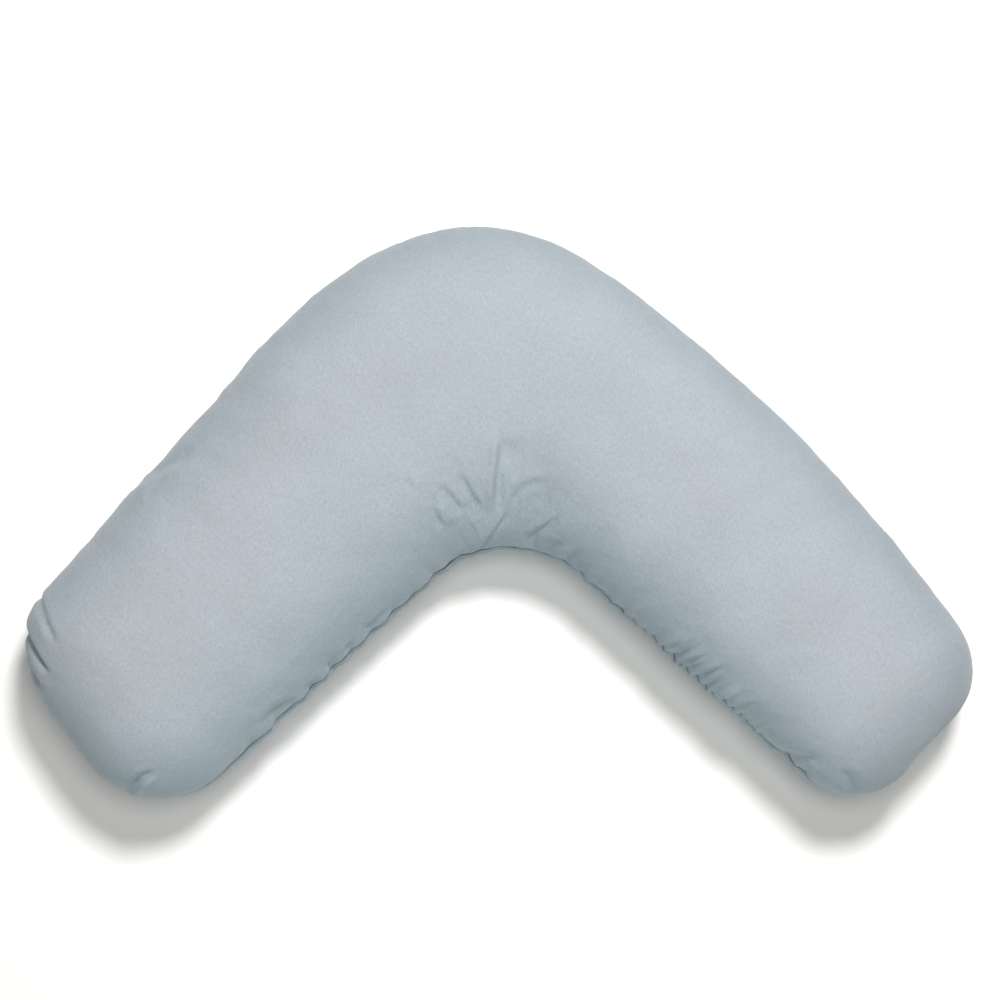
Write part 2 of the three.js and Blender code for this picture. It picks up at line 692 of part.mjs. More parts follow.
const casingTop = panelGeometry(topRows, casingOuter, casingInner, true);
const casingBottom = panelGeometry(bottomRows, casingOuter, casingInner, false);
const casingThreadSide = casingOuter.side - threadGap - threadWidth;
addPiece(pillow, 'inner_casing_top_panel', casingTop, casingCloth());
addPiece(pillow, 'inner_casing_bottom_panel', casingBottom, casingCloth());
addPiece(pillow, 'inner_casing_seam_thread', threadGeometry(casingThreadSide, edge), casingCloth());
addPiece(pillow, 'fibre_filling', fillingGeometry(), casingCloth());
addPiece(pillow, 'care_label', labelGeometry(), casingCloth());

const zipSides = [['upper', 1, upperAxes], ['lower', -1, lowerAxes]];
for (const [name, side, axes] of zipSides) {
  addPiece(pillow, `zip_${name}_tape`, tapeGeometry(side, axes), zipTapeCloth());
  addPiece(pillow, `zip_${name}_coil`, coilGeometry(side), zipNylon());
  addPiece(pillow, `zip_${name}_stitching`, stitchGeometry(side, axes), sewingThread());
  addPiece(pillow, `zip_${name}_top_stop`, topStopGeometry(side), zipMetal());
}
addPiece(pillow, 'zip_bottom_stop', bottomStopGeometry(), zipMetal());

const sliderRest = coilEnd - touchGap - sliderLength / 2;
const sliderGroup = zipGroup(sliderRest);
addPiece(sliderGroup, 'zip_slider_body', sliderGeometry(), zipMetal());
const pullGroup = new THREE.Group();
pullGroup.position.z = pullAxisHeight;
addPiece(pullGroup, 'zip_pull_tab', pullGeometry(), zipMetal());
sliderGroup.add(pullGroup);
pillow.add(sliderGroup);

// The origin is under the middle of the whole pillow, on the surface that it rests on.
const whole = new THREE.Group();
whole.add(pillow);
whole.updateMatrixWorld(true);
const box = new THREE.Box3().setFromObject(whole, true);
const middle = box.getCenter(new THREE.Vector3());
pillow.position.set(-middle.x, -middle.y, -box.min.z);
whole.updateMatrixWorld(true);

export default whole;
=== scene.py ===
"""V-shaped nursing pillow: a zipped cotton cover over an inner cushion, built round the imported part."""
import json
import math

import bmesh
import bpy
import numpy as np
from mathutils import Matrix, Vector
from mathutils.bvhtree import BVHTree
from mathutils.kdtree import KDTree


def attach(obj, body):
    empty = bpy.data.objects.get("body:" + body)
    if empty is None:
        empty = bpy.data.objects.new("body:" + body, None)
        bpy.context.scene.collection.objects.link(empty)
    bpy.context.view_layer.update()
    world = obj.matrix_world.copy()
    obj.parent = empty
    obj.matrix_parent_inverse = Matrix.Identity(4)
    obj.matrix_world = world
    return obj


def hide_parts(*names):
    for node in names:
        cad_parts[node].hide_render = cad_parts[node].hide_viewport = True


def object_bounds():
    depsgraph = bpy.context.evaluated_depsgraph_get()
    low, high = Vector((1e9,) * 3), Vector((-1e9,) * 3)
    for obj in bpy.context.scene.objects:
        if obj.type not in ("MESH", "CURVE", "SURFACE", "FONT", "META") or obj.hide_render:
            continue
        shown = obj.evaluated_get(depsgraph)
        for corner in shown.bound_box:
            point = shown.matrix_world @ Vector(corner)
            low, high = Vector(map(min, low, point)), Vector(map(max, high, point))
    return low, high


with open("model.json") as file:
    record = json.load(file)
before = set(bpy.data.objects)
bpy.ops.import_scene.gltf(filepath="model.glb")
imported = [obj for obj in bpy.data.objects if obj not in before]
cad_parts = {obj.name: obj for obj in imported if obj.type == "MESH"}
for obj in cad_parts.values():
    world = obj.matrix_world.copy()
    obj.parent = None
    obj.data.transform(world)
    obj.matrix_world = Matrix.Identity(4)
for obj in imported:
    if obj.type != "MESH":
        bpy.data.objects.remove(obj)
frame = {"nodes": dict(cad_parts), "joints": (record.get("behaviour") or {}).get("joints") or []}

bl_info = {
    "name": "Nursing Pillow",
    "version": (1, 0, 0),
    "blender": (4, 5, 0),
    "location": "3D View > Sidebar > Pillow",
    "description": "Makes a V-shaped nursing pillow with its zipped cover and inner cushion",
    "category": "Object",
}

MM = 0.001
JOINTS = {joint["name"]: joint for joint in frame["joints"]}
CAD_BOX = [list(corner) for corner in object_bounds()]


# ---- Sizes and colours ----
def size(label, about, default, least=0.0, most=3.0):
    return bpy.props.FloatProperty(
        name=label, description=about, default=default, min=least, max=most, unit="LENGTH", precision=4)


def turn(label, about, default):
    return bpy.props.FloatProperty(
        name=label, description=about, default=math.radians(default), subtype="ANGLE")


def share(label, about, default, most=1.0):
    return bpy.props.FloatProperty(name=label, description=about, default=default, min=0.0, max=most)


def colour(label, about, default):
    return bpy.props.FloatVectorProperty(
        name=label, description=about, default=default, size=3, min=0.0, max=1.0, subtype="COLOR")


class PillowForm(bpy.types.PropertyGroup):
    left_slope: turn("Left slope", "Fall of the left arm below the horizontal", 43.1)
    right_slope: turn("Right slope", "Fall of the right arm below the horizontal", 41.9)
    left_reach: size("Left reach", "Inner corner of the V to the left arm's end", 0.380)
    right_reach: size("Right reach", "Inner corner of the V to the right arm's end", 0.373)
    left_width: size("Left width", "Width of the left arm where the shoulder begins", 0.230)
    left_taper: turn("Left taper", "Narrowing of the left arm towards its end", 5.4)
    right_width: size("Right width", "Widest place of the right arm", 0.203)
    bow_radius: size("Bow radius", "Radius of the right arm's outer edge", 1.224)
    bow_middle: size("Bow middle", "Where the bow is widest, along the right arm", 0.060)
    crotch_radius: size("Crotch radius", "Round inner corner of the V", 0.085)
    height: size("Height", "Crown above the rest face", 0.148)
    girth_height: size("Girth height", "Height of the widest line", 0.066)
    rest_sag: size("Rest sag", "How far the full form would sink below the rest face", 0.008)
    outer_seam: size("Outer seam", "Height of the cover's seam along the outer edge", 0.038)
    inner_seam: size("Inner seam", "Height of the cover's seam round the inside of the V", 0.0785)
    cover: size("Cover", "Thickness of the cover's cloth", 0.0012)
    casing: size("Casing", "Thickness of the inner casing's cloth", 0.0008)


class PillowSoftness(bpy.types.PropertyGroup):
    pressure: share("Pressure", "How hard the filling pushes the cover out", 4.0, 20.0)
    seam_shrink: share("Seam shrink", "How much shorter the seam is than the cloth sewn to it", 0.10)
    swell: size("Swell", "Furthest that the filling may push the cloth", 0.005)
    tension: share("Tension", "How much of the simulated wrinkling shows", 0.42)
    gathers: size("Gathers", "Height of the gathers along the seam", 0.0016)
    lumps: size("Lumps", "Height of the soft lumps of the filling", 0.0014)
    fill: share("Fill", "How full the cushion is", 0.8)


class PillowStitch(bpy.types.PropertyGroup):
    pitch: size("Pitch", "From one stitch to the next", 0.0030)
    length: size("Length", "Length of one stitch", 0.0026)
    thread: size("Thread", "Thickness of the thread", 0.0006)
    tooth_pitch: size("Tooth pitch", "From one tooth of the coil to the next", 0.0014)
    edge_round: size("Edge round", "Rounding of the zip's metal edges", 0.0002)


class PillowColours(bpy.types.PropertyGroup):
    cotton: colour("Cotton", "Washed cotton of the cover", (0.370, 0.412, 0.455))
    cotton_thread: colour("Cotton thread", "Thread of the cover's seam", (0.12, 0.14, 0.155))
    casing: colour("Casing", "Cotton of the inner casing", (0.86, 0.85, 0.82))
    fibre: colour("Fibre", "Polyester filling", (0.93, 0.93, 0.92))
    label: colour("Label", "Woven care label, left blank", (0.88, 0.88, 0.86))
    tape: colour("Tape", "Woven tapes of the zip", (0.27, 0.31, 0.345))
    nylon: colour("Nylon", "Coil of the zip", (0.31, 0.355, 0.39))
    metal: colour("Metal", "Slider, pull and stops", (0.62, 0.62, 0.61))
    floor: colour("Floor", "Plain pale floor", (0.97, 0.968, 0.955))


def settings():
    scene = bpy.context.scene
    return scene.pillow_form, scene.pillow_softness, scene.pillow_stitch, scene.pillow_colours


# ---- Small helpers ----
def smoothstep(low, high, x):
    t = np.clip((np.asarray(x, float) - low) / (high - low), 0.0, 1.0)
    return t * t * (3.0 - 2.0 * t)


def unit(v):
    return v / np.maximum(np.linalg.norm(v, axis=-1, keepdims=True), 1e-12)


def cloth_noise(points, scale, seed):
    """Smooth noise from -1 to 1 on points of any dimension."""
    points = np.asarray(points, float) / scale
    table = np.random.default_rng(seed).random(4096) * 2.0 - 1.0
    cell = np.floor(points).astype(np.int64)
    inside = points - cell
    inside = inside * inside * (3.0 - 2.0 * inside)
    primes = (73856093, 19349663, 83492791)
    total = np.zeros(points.shape[:-1])
    dimensions = points.shape[-1]
    for corner in range(2 ** dimensions):
        weight = np.ones(points.shape[:-1])
        code = np.zeros(points.shape[:-1], np.int64)
        for axis in range(dimensions):
            step = corner >> axis & 1
            weight = weight * (inside[..., axis] if step else 1.0 - inside[..., axis])
            code = code ^ (cell[..., axis] + step) * primes[axis]
        total += weight * table[code & 4095]
    return total


def polyline_points(path, count):
    """Evenly spaced points on a path, ends included."""
    lengths = np.r_[0.0, np.cumsum(np.linalg.norm(np.diff(path, axis=0), axis=1))]
    at = np.linspace(0.0, lengths[-1], count)
    return np.stack([np.interp(at, lengths, path[:, axis]) for axis in range(path.shape[1])], axis=1)


# ---- Plan and cross-sections of the pillow ----
STRAIGHT, SHOULDER, BOW, END = 104, 140, 156, 112
TOP_ROWS, SIDE_ROWS, REST_ROWS = 72, 28, 8
SHOULDER_START, SHOULDER_END = 0.067, -0.042
LEFT_PULL, RIGHT_PULL = 0.140, 0.157
END_ROUND, RIGHT_END_EASE = 0.078, 0.010
LEFT_RADII, RIGHT_RADII = (0.076, 0.078), (0.056, 0.058)
LEFT_CROWN, RIGHT_CROWN, ELBOW_CROWN = 0.106, 0.097, 0.024
ROUNDNESS = 2.2
CROTCH_FROM, CROTCH_TO = 0.09, 0.72
ZIP_MIDDLE, HALF_SLOT, SLOT_HALF_WIDTH = 0.125, 0.150, 0.005
PANEL_GAP = 0.0002


class Form:
    """The edge of the pillow seen from above, with the crown point and seam height of each of its points."""

    def __init__(self, form):
        self.form = form
        self.left = np.array([-math.cos(form.left_slope), -math.sin(form.left_slope)])
        self.left_across = np.array([-math.sin(form.left_slope), math.cos(form.left_slope)])
        self.right = np.array([math.cos(form.right_slope), -math.sin(form.right_slope)])
        self.right_across = np.array([math.sin(form.right_slope), math.cos(form.right_slope)])
        self.bow_centre = (self.right * form.bow_middle
                           + self.right_across * (form.right_width - form.bow_radius))
        self.bow_axis = math.atan2(self.right_across[1], self.right_across[0])
        self.left_side = form.left_reach - END_ROUND
        self.right_side = form.right_reach - END_ROUND + RIGHT_END_EASE
        self.shift = np.array(JOINTS["zip_travel"]["pos_m"][:2]) - self.bow_centre
        self.make_edge()

    def on_left(self, along, across):
        return self.left * along + self.left_across * across

    def left_outer(self, along):
        return self.form.left_width - (along - SHOULDER_START) * math.tan(self.form.left_taper)

    def bow_angle(self, along):
        return self.bow_axis - math.asin((along - self.form.bow_middle) / self.form.bow_radius)

    def bow_point(self, angle, radius):
        angle = np.asarray(angle, float)
        return self.bow_centre + radius * np.stack([np.cos(angle), np.sin(angle)], axis=-1)

    def inner_points(self, lengths):
        """Points of the inner edge at these lengths from the left arm's end."""
        radius = self.form.crotch_radius
        angles = math.atan2(self.left_across[1], self.left_across[0]) - (lengths - self.left_inner) / radius
        centre = self.on_left(self.tangent, -radius)
        round_part = centre + radius * np.stack([np.cos(angles), np.sin(angles)], axis=-1)
        left_part = (self.left_side - lengths)[:, None] * self.left
        right_part = (self.tangent + lengths - self.left_inner - self.crotch)[:, None] * self.right
        points = np.where((lengths <= self.left_inner)[:, None], left_part, round_part)
        return np.where((lengths >= self.left_inner + self.crotch)[:, None], right_part, points)

    def stations(self):
        form = self.form
        bend = form.left_slope + form.right_slope
        self.tangent = form.crotch_radius * math.tan(bend / 2)
        self.crotch = form.crotch_radius * bend
        self.left_inner = self.left_side - self.tangent
        whole = self.left_inner + self.crotch + self.right_side - self.tangent
        crotch_from = self.left_inner + self.crotch * CROTCH_FROM
        crotch_to = self.left_inner + self.crotch * CROTCH_TO
        outer_end = self.on_left(self.left_side, self.left_outer(self.left_side))
        first = self.on_left(SHOULDER_START, form.left_width)
        heading = unit(first - outer_end)
        last_angle = self.bow_angle(SHOULDER_END)
        last = self.bow_point(last_angle, form.bow_radius)
        right_heading = np.array([math.sin(last_angle), -math.cos(last_angle)])
        t = np.linspace(0, 1, STRAIGHT + 1)[:-1, None]
        straight = outer_end * (1 - t) + first * t
        inward = np.tile([heading[1], -heading[0]], (STRAIGHT, 1))
        parts = [(straight, inward, np.full(STRAIGHT, LEFT_CROWN), t[:, 0] * crotch_from)]
        ways = [first, first + heading * LEFT_PULL, last - right_heading * RIGHT_PULL, last]
        fine = np.linspace(0, 1, 2001)
        curve = self.bezier(ways, fine)
        lengths = np.r_[0.0, np.cumsum(np.linalg.norm(np.diff(curve, axis=0), axis=1))]
        shares = np.linspace(0, 1, SHOULDER + 1)[:-1]
        at = np.interp(shares * lengths[-1], lengths, fine)
        points = self.bezier(ways, at)
        tangents = unit(self.bezier(ways, at + 1e-4) - self.bezier(ways, at - 1e-4))
        crown = (LEFT_CROWN + (RIGHT_CROWN - LEFT_CROWN) * shares
                 + ELBOW_CROWN * np.sin(np.pi * shares) ** 2)
        parts.append((points, np.stack([tangents[:, 1], -tangents[:, 0]], axis=1), crown,
                      crotch_from + (crotch_to - crotch_from) * shares))
        shares = np.linspace(0, 1, BOW + 1)
        angles = last_angle + (self.bow_angle(self.right_side) - last_angle) * shares
        inward = -np.stack([np.cos(angles), np.sin(angles)], axis=1)
        parts.append((self.bow_point(angles, form.bow_radius), inward, np.full(BOW + 1, RIGHT_CROWN),
                      crotch_to + (whole - crotch_to) * shares))
        outer, inward, crown, inner = (np.concatenate(group) for group in zip(*parts))
        return outer, self.inner_points(inner), outer + inward * crown[:, None]

    @staticmethod
    def bezier(ways, t):
        t = np.asarray(t, float)[:, None]
        a, b, c, d = ways
        return a * (1 - t) ** 3 + b * 3 * t * (1 - t) ** 2 + c * 3 * t * t * (1 - t) + d * t ** 3

    @staticmethod
    def end_outline(corners, radii, first, last):
        """Rounded end of an arm, evenly spaced from its inner side to its outer side."""
        ways = [first, *corners, last]
        path = [first[None, :]]
        for i, (corner, radius) in enumerate(zip(corners, radii)):
            back, ahead = unit(ways[i] - corner), unit(ways[i + 2] - corner)
            half = math.acos(float(back @ ahead)) / 2
            start = corner + back * radius / math.tan(half)
            stop = corner + ahead * radius / math.tan(half)
            centre = corner + unit(back + ahead) * radius / math.sin(half)
            a0 = math.atan2(*(start - centre)[::-1])
            sweep = math.atan2(*(stop - centre)[::-1]) - a0
            sweep = (sweep + math.pi) % (2 * math.pi) - math.pi
            angles = a0 + sweep * np.linspace(0, 1, 120)
            path.append(centre + radius * np.stack([np.cos(angles), np.sin(angles)], axis=1))
        path.append(last[None, :])
        return polyline_points(np.concatenate(path), END + 1)[1:-1]

    def make_edge(self):
        form = self.form
        outer, inner, spine = self.stations()
        self.count = len(outer)
        reach = form.right_reach
        across = math.sqrt(form.bow_radius ** 2 - (reach - form.bow_middle) ** 2)
        across += form.right_width - form.bow_radius
        right_corners = [self.right * reach, self.right * reach + self.right_across * across]
        left_corners = [self.on_left(form.left_reach, width)
                        for width in (0, self.left_outer(form.left_reach))]
        right_end = self.end_outline(right_corners, RIGHT_RADII, inner[-1], outer[-1])
        left_end = self.end_outline(left_corners, LEFT_RADII, inner[0], outer[0])[::-1]
        blend = smoothstep(0, 1, np.arange(1, END) / END)
        low, high = form.outer_seam, form.inner_seam
        self.at = np.concatenate([inner, right_end, outer[::-1], left_end])
        self.spine = np.concatenate([spine, np.tile(spine[-1], (END - 1, 1)), spine[::-1],
                                     np.tile(spine[0], (END - 1, 1))])
        self.seam = np.concatenate([np.full(self.count, high), high + (low - high) * blend,
                                    np.full(self.count, low), low + (high - low) * blend])
        order = np.arange(self.count)
        self.crown_of = np.concatenate([order, np.full(END - 1, self.count - 1), order[::-1],
                                        np.zeros(END - 1, int)])
        steps = np.linalg.norm(np.roll(self.at, -1, axis=0) - self.at, axis=1)
        self.run = np.r_[0.0, np.cumsum(steps)[:-1]]
        self.length = steps.sum()
        self.make_slot()

    def make_slot(self):
        """How far the slot for the zip stands open at each point of the edge."""
        offset = self.at - self.bow_centre
        angle = np.arctan2(offset[:, 1], offset[:, 0]) - self.bow_angle(ZIP_MIDDLE)
        along = np.abs(angle) * self.wall_point(self.form.outer_seam)[0]
        first_outer = self.count + END - 1
        on_outer = np.zeros(len(self.at))
        on_outer[first_outer:first_outer + self.count] = 1.0
        self.slot = on_outer * (1.0 - smoothstep(HALF_SLOT - 0.0012, HALF_SLOT + 0.0012, along))
        self.zip_near = on_outer * (1.0 - smoothstep(HALF_SLOT + 0.002, HALF_SLOT + 0.020, along))

    def ring(self, shape, whole=2 * math.pi):
        """Places on a circle as long as the edge, for noise that closes on itself."""
        turns = whole / self.length
        circle = np.stack([np.cos(self.run * turns), np.sin(self.run * turns)], axis=-1) / turns
        return np.broadcast_to(circle, (*shape, 2))

    def end_ease(self):
        """How much slacker the cloth lies round the left arm's end than the full form."""
        across = (self.at - self.on_left(self.form.left_reach, 0)) @ self.left_across
        along = (self.at @ self.left) / self.form.left_reach
        return 0.0075 * smoothstep(0.86, 1.0, along) * smoothstep(0.075, 0.150, across)

    def rises(self, face):
        form = self.form
        return form.height - form.girth_height - face, form.girth_height + form.rest_sag - face

    def height_angle(self, height, face=0.0):
        up, down = self.rises(face)
        above = (np.maximum(height - self.form.girth_height, 0) / up) ** (ROUNDNESS / 2)
        below = (np.maximum(self.form.girth_height - height, 0) / down) ** (ROUNDNESS / 2)
        return np.arcsin(np.clip(above, 0, 1)) - np.arcsin(np.clip(below, 0, 1))

    def section(self, angle, side=0.0, face=0.0):
        """Rows of points at these angles round the section, on the form made smaller by side and face."""
        up, down = self.rises(face)
        radial = self.at - self.spine
        reach = np.linalg.norm(radial, axis=1) - side
        out = reach * np.maximum(np.cos(angle), 0) ** (2 / ROUNDNESS)
        swing = np.abs(np.sin(angle)) ** (2 / ROUNDNESS)
        height = self.form.girth_height + np.where(angle >= 0, up * swing, -down * swing)
        flat = self.spine + self.shift + unit(radial) * out[..., None]
        return np.concatenate([flat, height[..., None]], axis=-1)

    def wall_point(self, height):
        angle = self.height_angle(np.array(height))
        out = RIGHT_CROWN * max(math.cos(angle), 0) ** (2 / ROUNDNESS)
        return np.array([self.form.bow_radius - RIGHT_CROWN + out, height])

    def wall_axes(self, low, high):
        up = unit(self.wall_point(high) - self.wall_point(low))
        return up, np.array([up[1], -up[0]])

    def zip_path(self, t, n, start, stop, count):
        """Points round the bow at t up the wall and n outwards from the seam, with the wall's normal."""
        seam = self.form.outer_seam
        up, out = self.wall_axes(seam - SLOT_HALF_WIDTH, seam + SLOT_HALF_WIDTH)
        return self.bow_row(self.wall_point(seam) + up * t + out * n, out, start, stop, count)

    def bow_row(self, corner, out, start, stop, count):
        """Points round the bow at one place of the wall, with the wall's normal."""
        along = np.linspace(start, stop, count)
        angles = self.bow_angle(ZIP_MIDDLE) + along / self.wall_point(self.form.outer_seam)[0]
        flat = self.bow_point(angles, corner[0]) + self.shift
        points = np.concatenate([flat, np.full((count, 1), corner[1])], axis=1)
        normals = np.stack([np.cos(angles) * out[0], np.sin(angles) * out[0], np.full(count, out[1])], axis=1)
        return points, normals


# ---- Skins: grids of points from the seam to the crown or to the middle of the rest face ----
class Skin:
    """Rows of points round the edge; the last row is the crown line that both sides of an arm share."""

    def __init__(self, form, top, side=0.0, face=0.0, open_slot=False):
        self.form, self.top = form, top
        gap = PANEL_GAP if top else -PANEL_GAP
        sign = 1.0 if top else -1.0
        height = form.seam + gap
        if open_slot:
            height = height + sign * form.slot * SLOT_HALF_WIDTH * 0.93
        rim = form.height_angle(height, face)
        if top:
            shares = np.linspace(0, 1, TOP_ROWS + 1) ** 1.12
            angles = rim + (math.pi / 2 - rim) * shares[:, None]
            self.points = form.section(angles, side, face)
        else:
            rest = float(form.height_angle(np.array(face), face))
            shares = np.linspace(0, 1, SIDE_ROWS + 1) ** 1.12
            angles = rim + (rest - rim) * shares[:, None]
            walls = form.section(angles, side, face)
            middle = np.concatenate([form.spine + form.shift, np.full((len(form.spine), 1), face)], axis=1)
            inward = np.linspace(0, 1, REST_ROWS + 1)[1:, None, None]
            self.points = np.concatenate([walls, walls[-1] * (1 - inward) + middle * inward])
            self.points[SIDE_ROWS:, :, 2] = face
        steps = np.linalg.norm(np.diff(self.points, axis=0), axis=2)
        self.depth = np.concatenate([np.zeros((1, steps.shape[1])), np.cumsum(steps, axis=0)])
        self.make_flat()
        self.normals = self.make_normals()

    def make_flat(self):
        """The cloth laid out flat: each point at its distance over the surface from the crown line."""
        form = self.form
        reach = self.depth[-1] - self.depth
        self.flat = form.spine + form.shift + unit(form.at - form.spine) * reach[..., None]

    def make_normals(self):
        along = np.roll(self.points, -1, axis=1) - np.roll(self.points, 1, axis=1)
        up = np.gradient(self.points, axis=0)
        normal = unit(np.cross(along, up)) * (1.0 if self.top else -1.0)
        normal[-1] = (0, 0, 1.0 if self.top else -1.0)
        return normal

    def angles(self):
        """Angle round the section at each point, from its height."""
        return self.form.height_angle(np.clip(self.points[..., 2], 0.0, self.form.form.height))

    def moved(self, amount):
        self.points = self.points + self.normals * amount[..., None]
        self.normals = self.make_normals()
        return self

    def every(self, step):
        """Points, flat places and crown numbers of every step-th row and column."""
        return self.points[::step, ::step], self.flat[::step, ::step], self.form.crown_of[::step] // step


def grid_faces(rows, columns, crown_of, start, flip):
    """Faces of a skin whose last row is shared: crown point k is number start + (rows - 1) * columns + k."""
    index = start + np.arange((rows - 1) * columns).reshape(rows - 1, columns)
    index = np.concatenate([index, (start + (rows - 1) * columns + crown_of)[None, :]])
    after = np.roll(index, -1, axis=1)
    quads = np.stack([index[:-1], after[:-1], after[1:], index[1:]], axis=-1).reshape(-1, 4)
    if flip:
        quads = quads[:, ::-1]
    same = (quads == np.roll(quads, -1, axis=1)).any(axis=1)
    faces = [tuple(face) for face in quads[~same].tolist()]
    for face in quads[same].tolist():
        corners = list(dict.fromkeys(face))
        if len(corners) == 3:
            faces.append(tuple(corners))
    return faces


def skin_vertices(points, crown_of):
    crown = np.zeros((int(crown_of.max()) + 1, points.shape[-1]))
    crown[crown_of[::-1]] = points[-1][::-1]
    return np.concatenate([points[:-1].reshape(-1, points.shape[-1]), crown])


def make_object(name, vertices, faces, flat=None, smooth=True):
    mesh = bpy.data.meshes.new(name)
    mesh.from_pydata(vertices.tolist(), [], faces)
    mesh.update()
    mesh.polygons.foreach_set("use_smooth", [smooth] * len(mesh.polygons))
    if flat is not None:
        layer = mesh.uv_layers.new(name="cloth")
        loops = np.zeros(len(mesh.loops), np.int32)
        mesh.loops.foreach_get("vertex_index", loops)
        layer.data.foreach_set("uv", flat[loops].astype(np.float32).ravel())
    piece = bpy.data.objects.new(name, mesh)
    bpy.context.scene.collection.objects.link(piece)
    return piece


def mark_cloth(piece, skins, crown_of):
    """Keeps each point's distance from the seam and its share of the way to the crown."""
    for name in ("seam", "crown"):
        values = []
        for skin, step in skins:
            depth = skin.depth / skin.depth[-1] if name == "crown" else skin.depth
            values.append(skin_vertices(depth[::step, ::step, None], crown_of[::step] // step)[:, 0])
        layer = piece.data.attributes.new(name, "FLOAT", "POINT")
        layer.data.foreach_set("value", np.concatenate(values).astype(np.float32))


def make_shell(name, outer, inner, inner_step):
    """A sheet of cloth with two faces and a rim: outer and inner are skins, the inner one coarser."""
    points, flat, crown = outer.every(1)
    rows, columns = points.shape[:2]
    inner_points, inner_flat, inner_crown = inner.every(inner_step)
    inner_rows, inner_columns = inner_points.shape[:2]
    vertices = skin_vertices(points, crown)
    start = len(vertices)
    faces = grid_faces(rows, columns, crown, 0, not outer.top)
    faces += grid_faces(inner_rows, inner_columns, inner_crown, start, outer.top)
    for i in range(inner_columns):
        a, b = start + i, start + (i + 1) % inner_columns
        rim = [(i * inner_step + k) % columns for k in range(inner_step + 1)]
        for k in range(inner_step):
            corner = a if k < inner_step / 2 else b
            face = (rim[k], corner, rim[k + 1])
            faces.append(face if outer.top else face[::-1])
        middle = rim[(inner_step + 1) // 2]
        face = (a, b, middle)
        faces.append(face if outer.top else face[::-1])
    vertices = np.concatenate([vertices, skin_vertices(inner_points, inner_crown)])
    flat = np.concatenate([skin_vertices(flat, crown), skin_vertices(inner_flat, inner_crown)])
    piece = make_object(name, vertices, faces, flat)
    mark_cloth(piece, ((outer, 1), (inner, inner_step)), outer.form.crown_of)
    return piece


# ---- Folds and gathers of the cover ----
# kind, width, height and path of each fold of the upper face, in millimetres
OUTER_EDGE_FOLDS = (
    ("groove", 5.0, 3.0, [(-281, 32), (-269, 35), (-255, 43), (-237, 55)]),
    ("ridge", 10.0, 1.4, [(-284, 24), (-271, 18)]),
    ("groove", 2.6, 1.6, [(-77, 223), (-73, 208)]),
    ("groove", 2.6, 1.5, [(-53, 232), (-50, 217)]),
    ("groove", 2.6, 1.5, [(-23, 235), (-23, 221)]),
    ("ridge", 7.0, 0.9, [(-65, 223), (-62, 211)]),
    ("ridge", 7.0, 0.9, [(-38, 229), (-37, 216)]),
    ("groove", 2.0, 1.1, [(327, -25), (319, -31)]),
    ("groove", 2.0, 1.1, [(336, -36), (328, -42)]),
    ("groove", 2.0, 1.1, [(343, -44), (334, -50)]),
)
LEFT_END_FOLDS = (
    ("groove", 2.8, 2.4, [(-368, -58), (-361, -70), (-353, -87), (-345, -101)]),
    ("ridge", 8.5, 1.3, [(-374, -76), (-364, -93), (-350, -119)]),
    ("groove", 2.8, 3.6, [(-378, -88), (-372, -99), (-364, -113), (-354, -128)]),
    ("ridge", 6.5, 1.0, [(-376, -112), (-364, -128), (-352, -144)]),
    ("groove", 2.4, 2.4, [(-378, -118), (-372, -127), (-363, -139)]),
    ("groove", 2.6, 1.6, [(-372, -142), (-360, -152)]),
    ("ridge", 2.6, 2.8, [(-291, -223), (-280, -213), (-267, -206)]),
    ("groove", 2.6, 3.0, [(-290, -216), (-280, -207), (-268, -201)]),
    ("groove", 1.8, 2.8, [(-372, -143), (-367, -152)]),
    ("groove", 1.8, 2.8, [(-365, -158), (-355, -172)]),
    ("groove", 1.8, 2.6, [(-353, -174), (-349, -179)]),
    ("groove", 1.8, 2.6, [(-347, -182), (-344, -185)]),
    ("groove", 1.8, 2.6, [(-342, -188), (-333, -198)]),
)
LEFT_INNER_FOLDS = (
    ("groove", 2.2, 2.0, [(-85, -78), (-101, -95)]),
    ("groove", 2.2, 2.0, [(-112, -104), (-118, -113)]),
    ("groove", 2.2, 2.0, [(-126, -120), (-132, -126)]),
    ("groove", 2.2, 2.0, [(-141, -134), (-146, -142)]),
    ("groove", 4.2, 3.2, [(-187, -171), (-172, -158), (-156, -147)]),
)
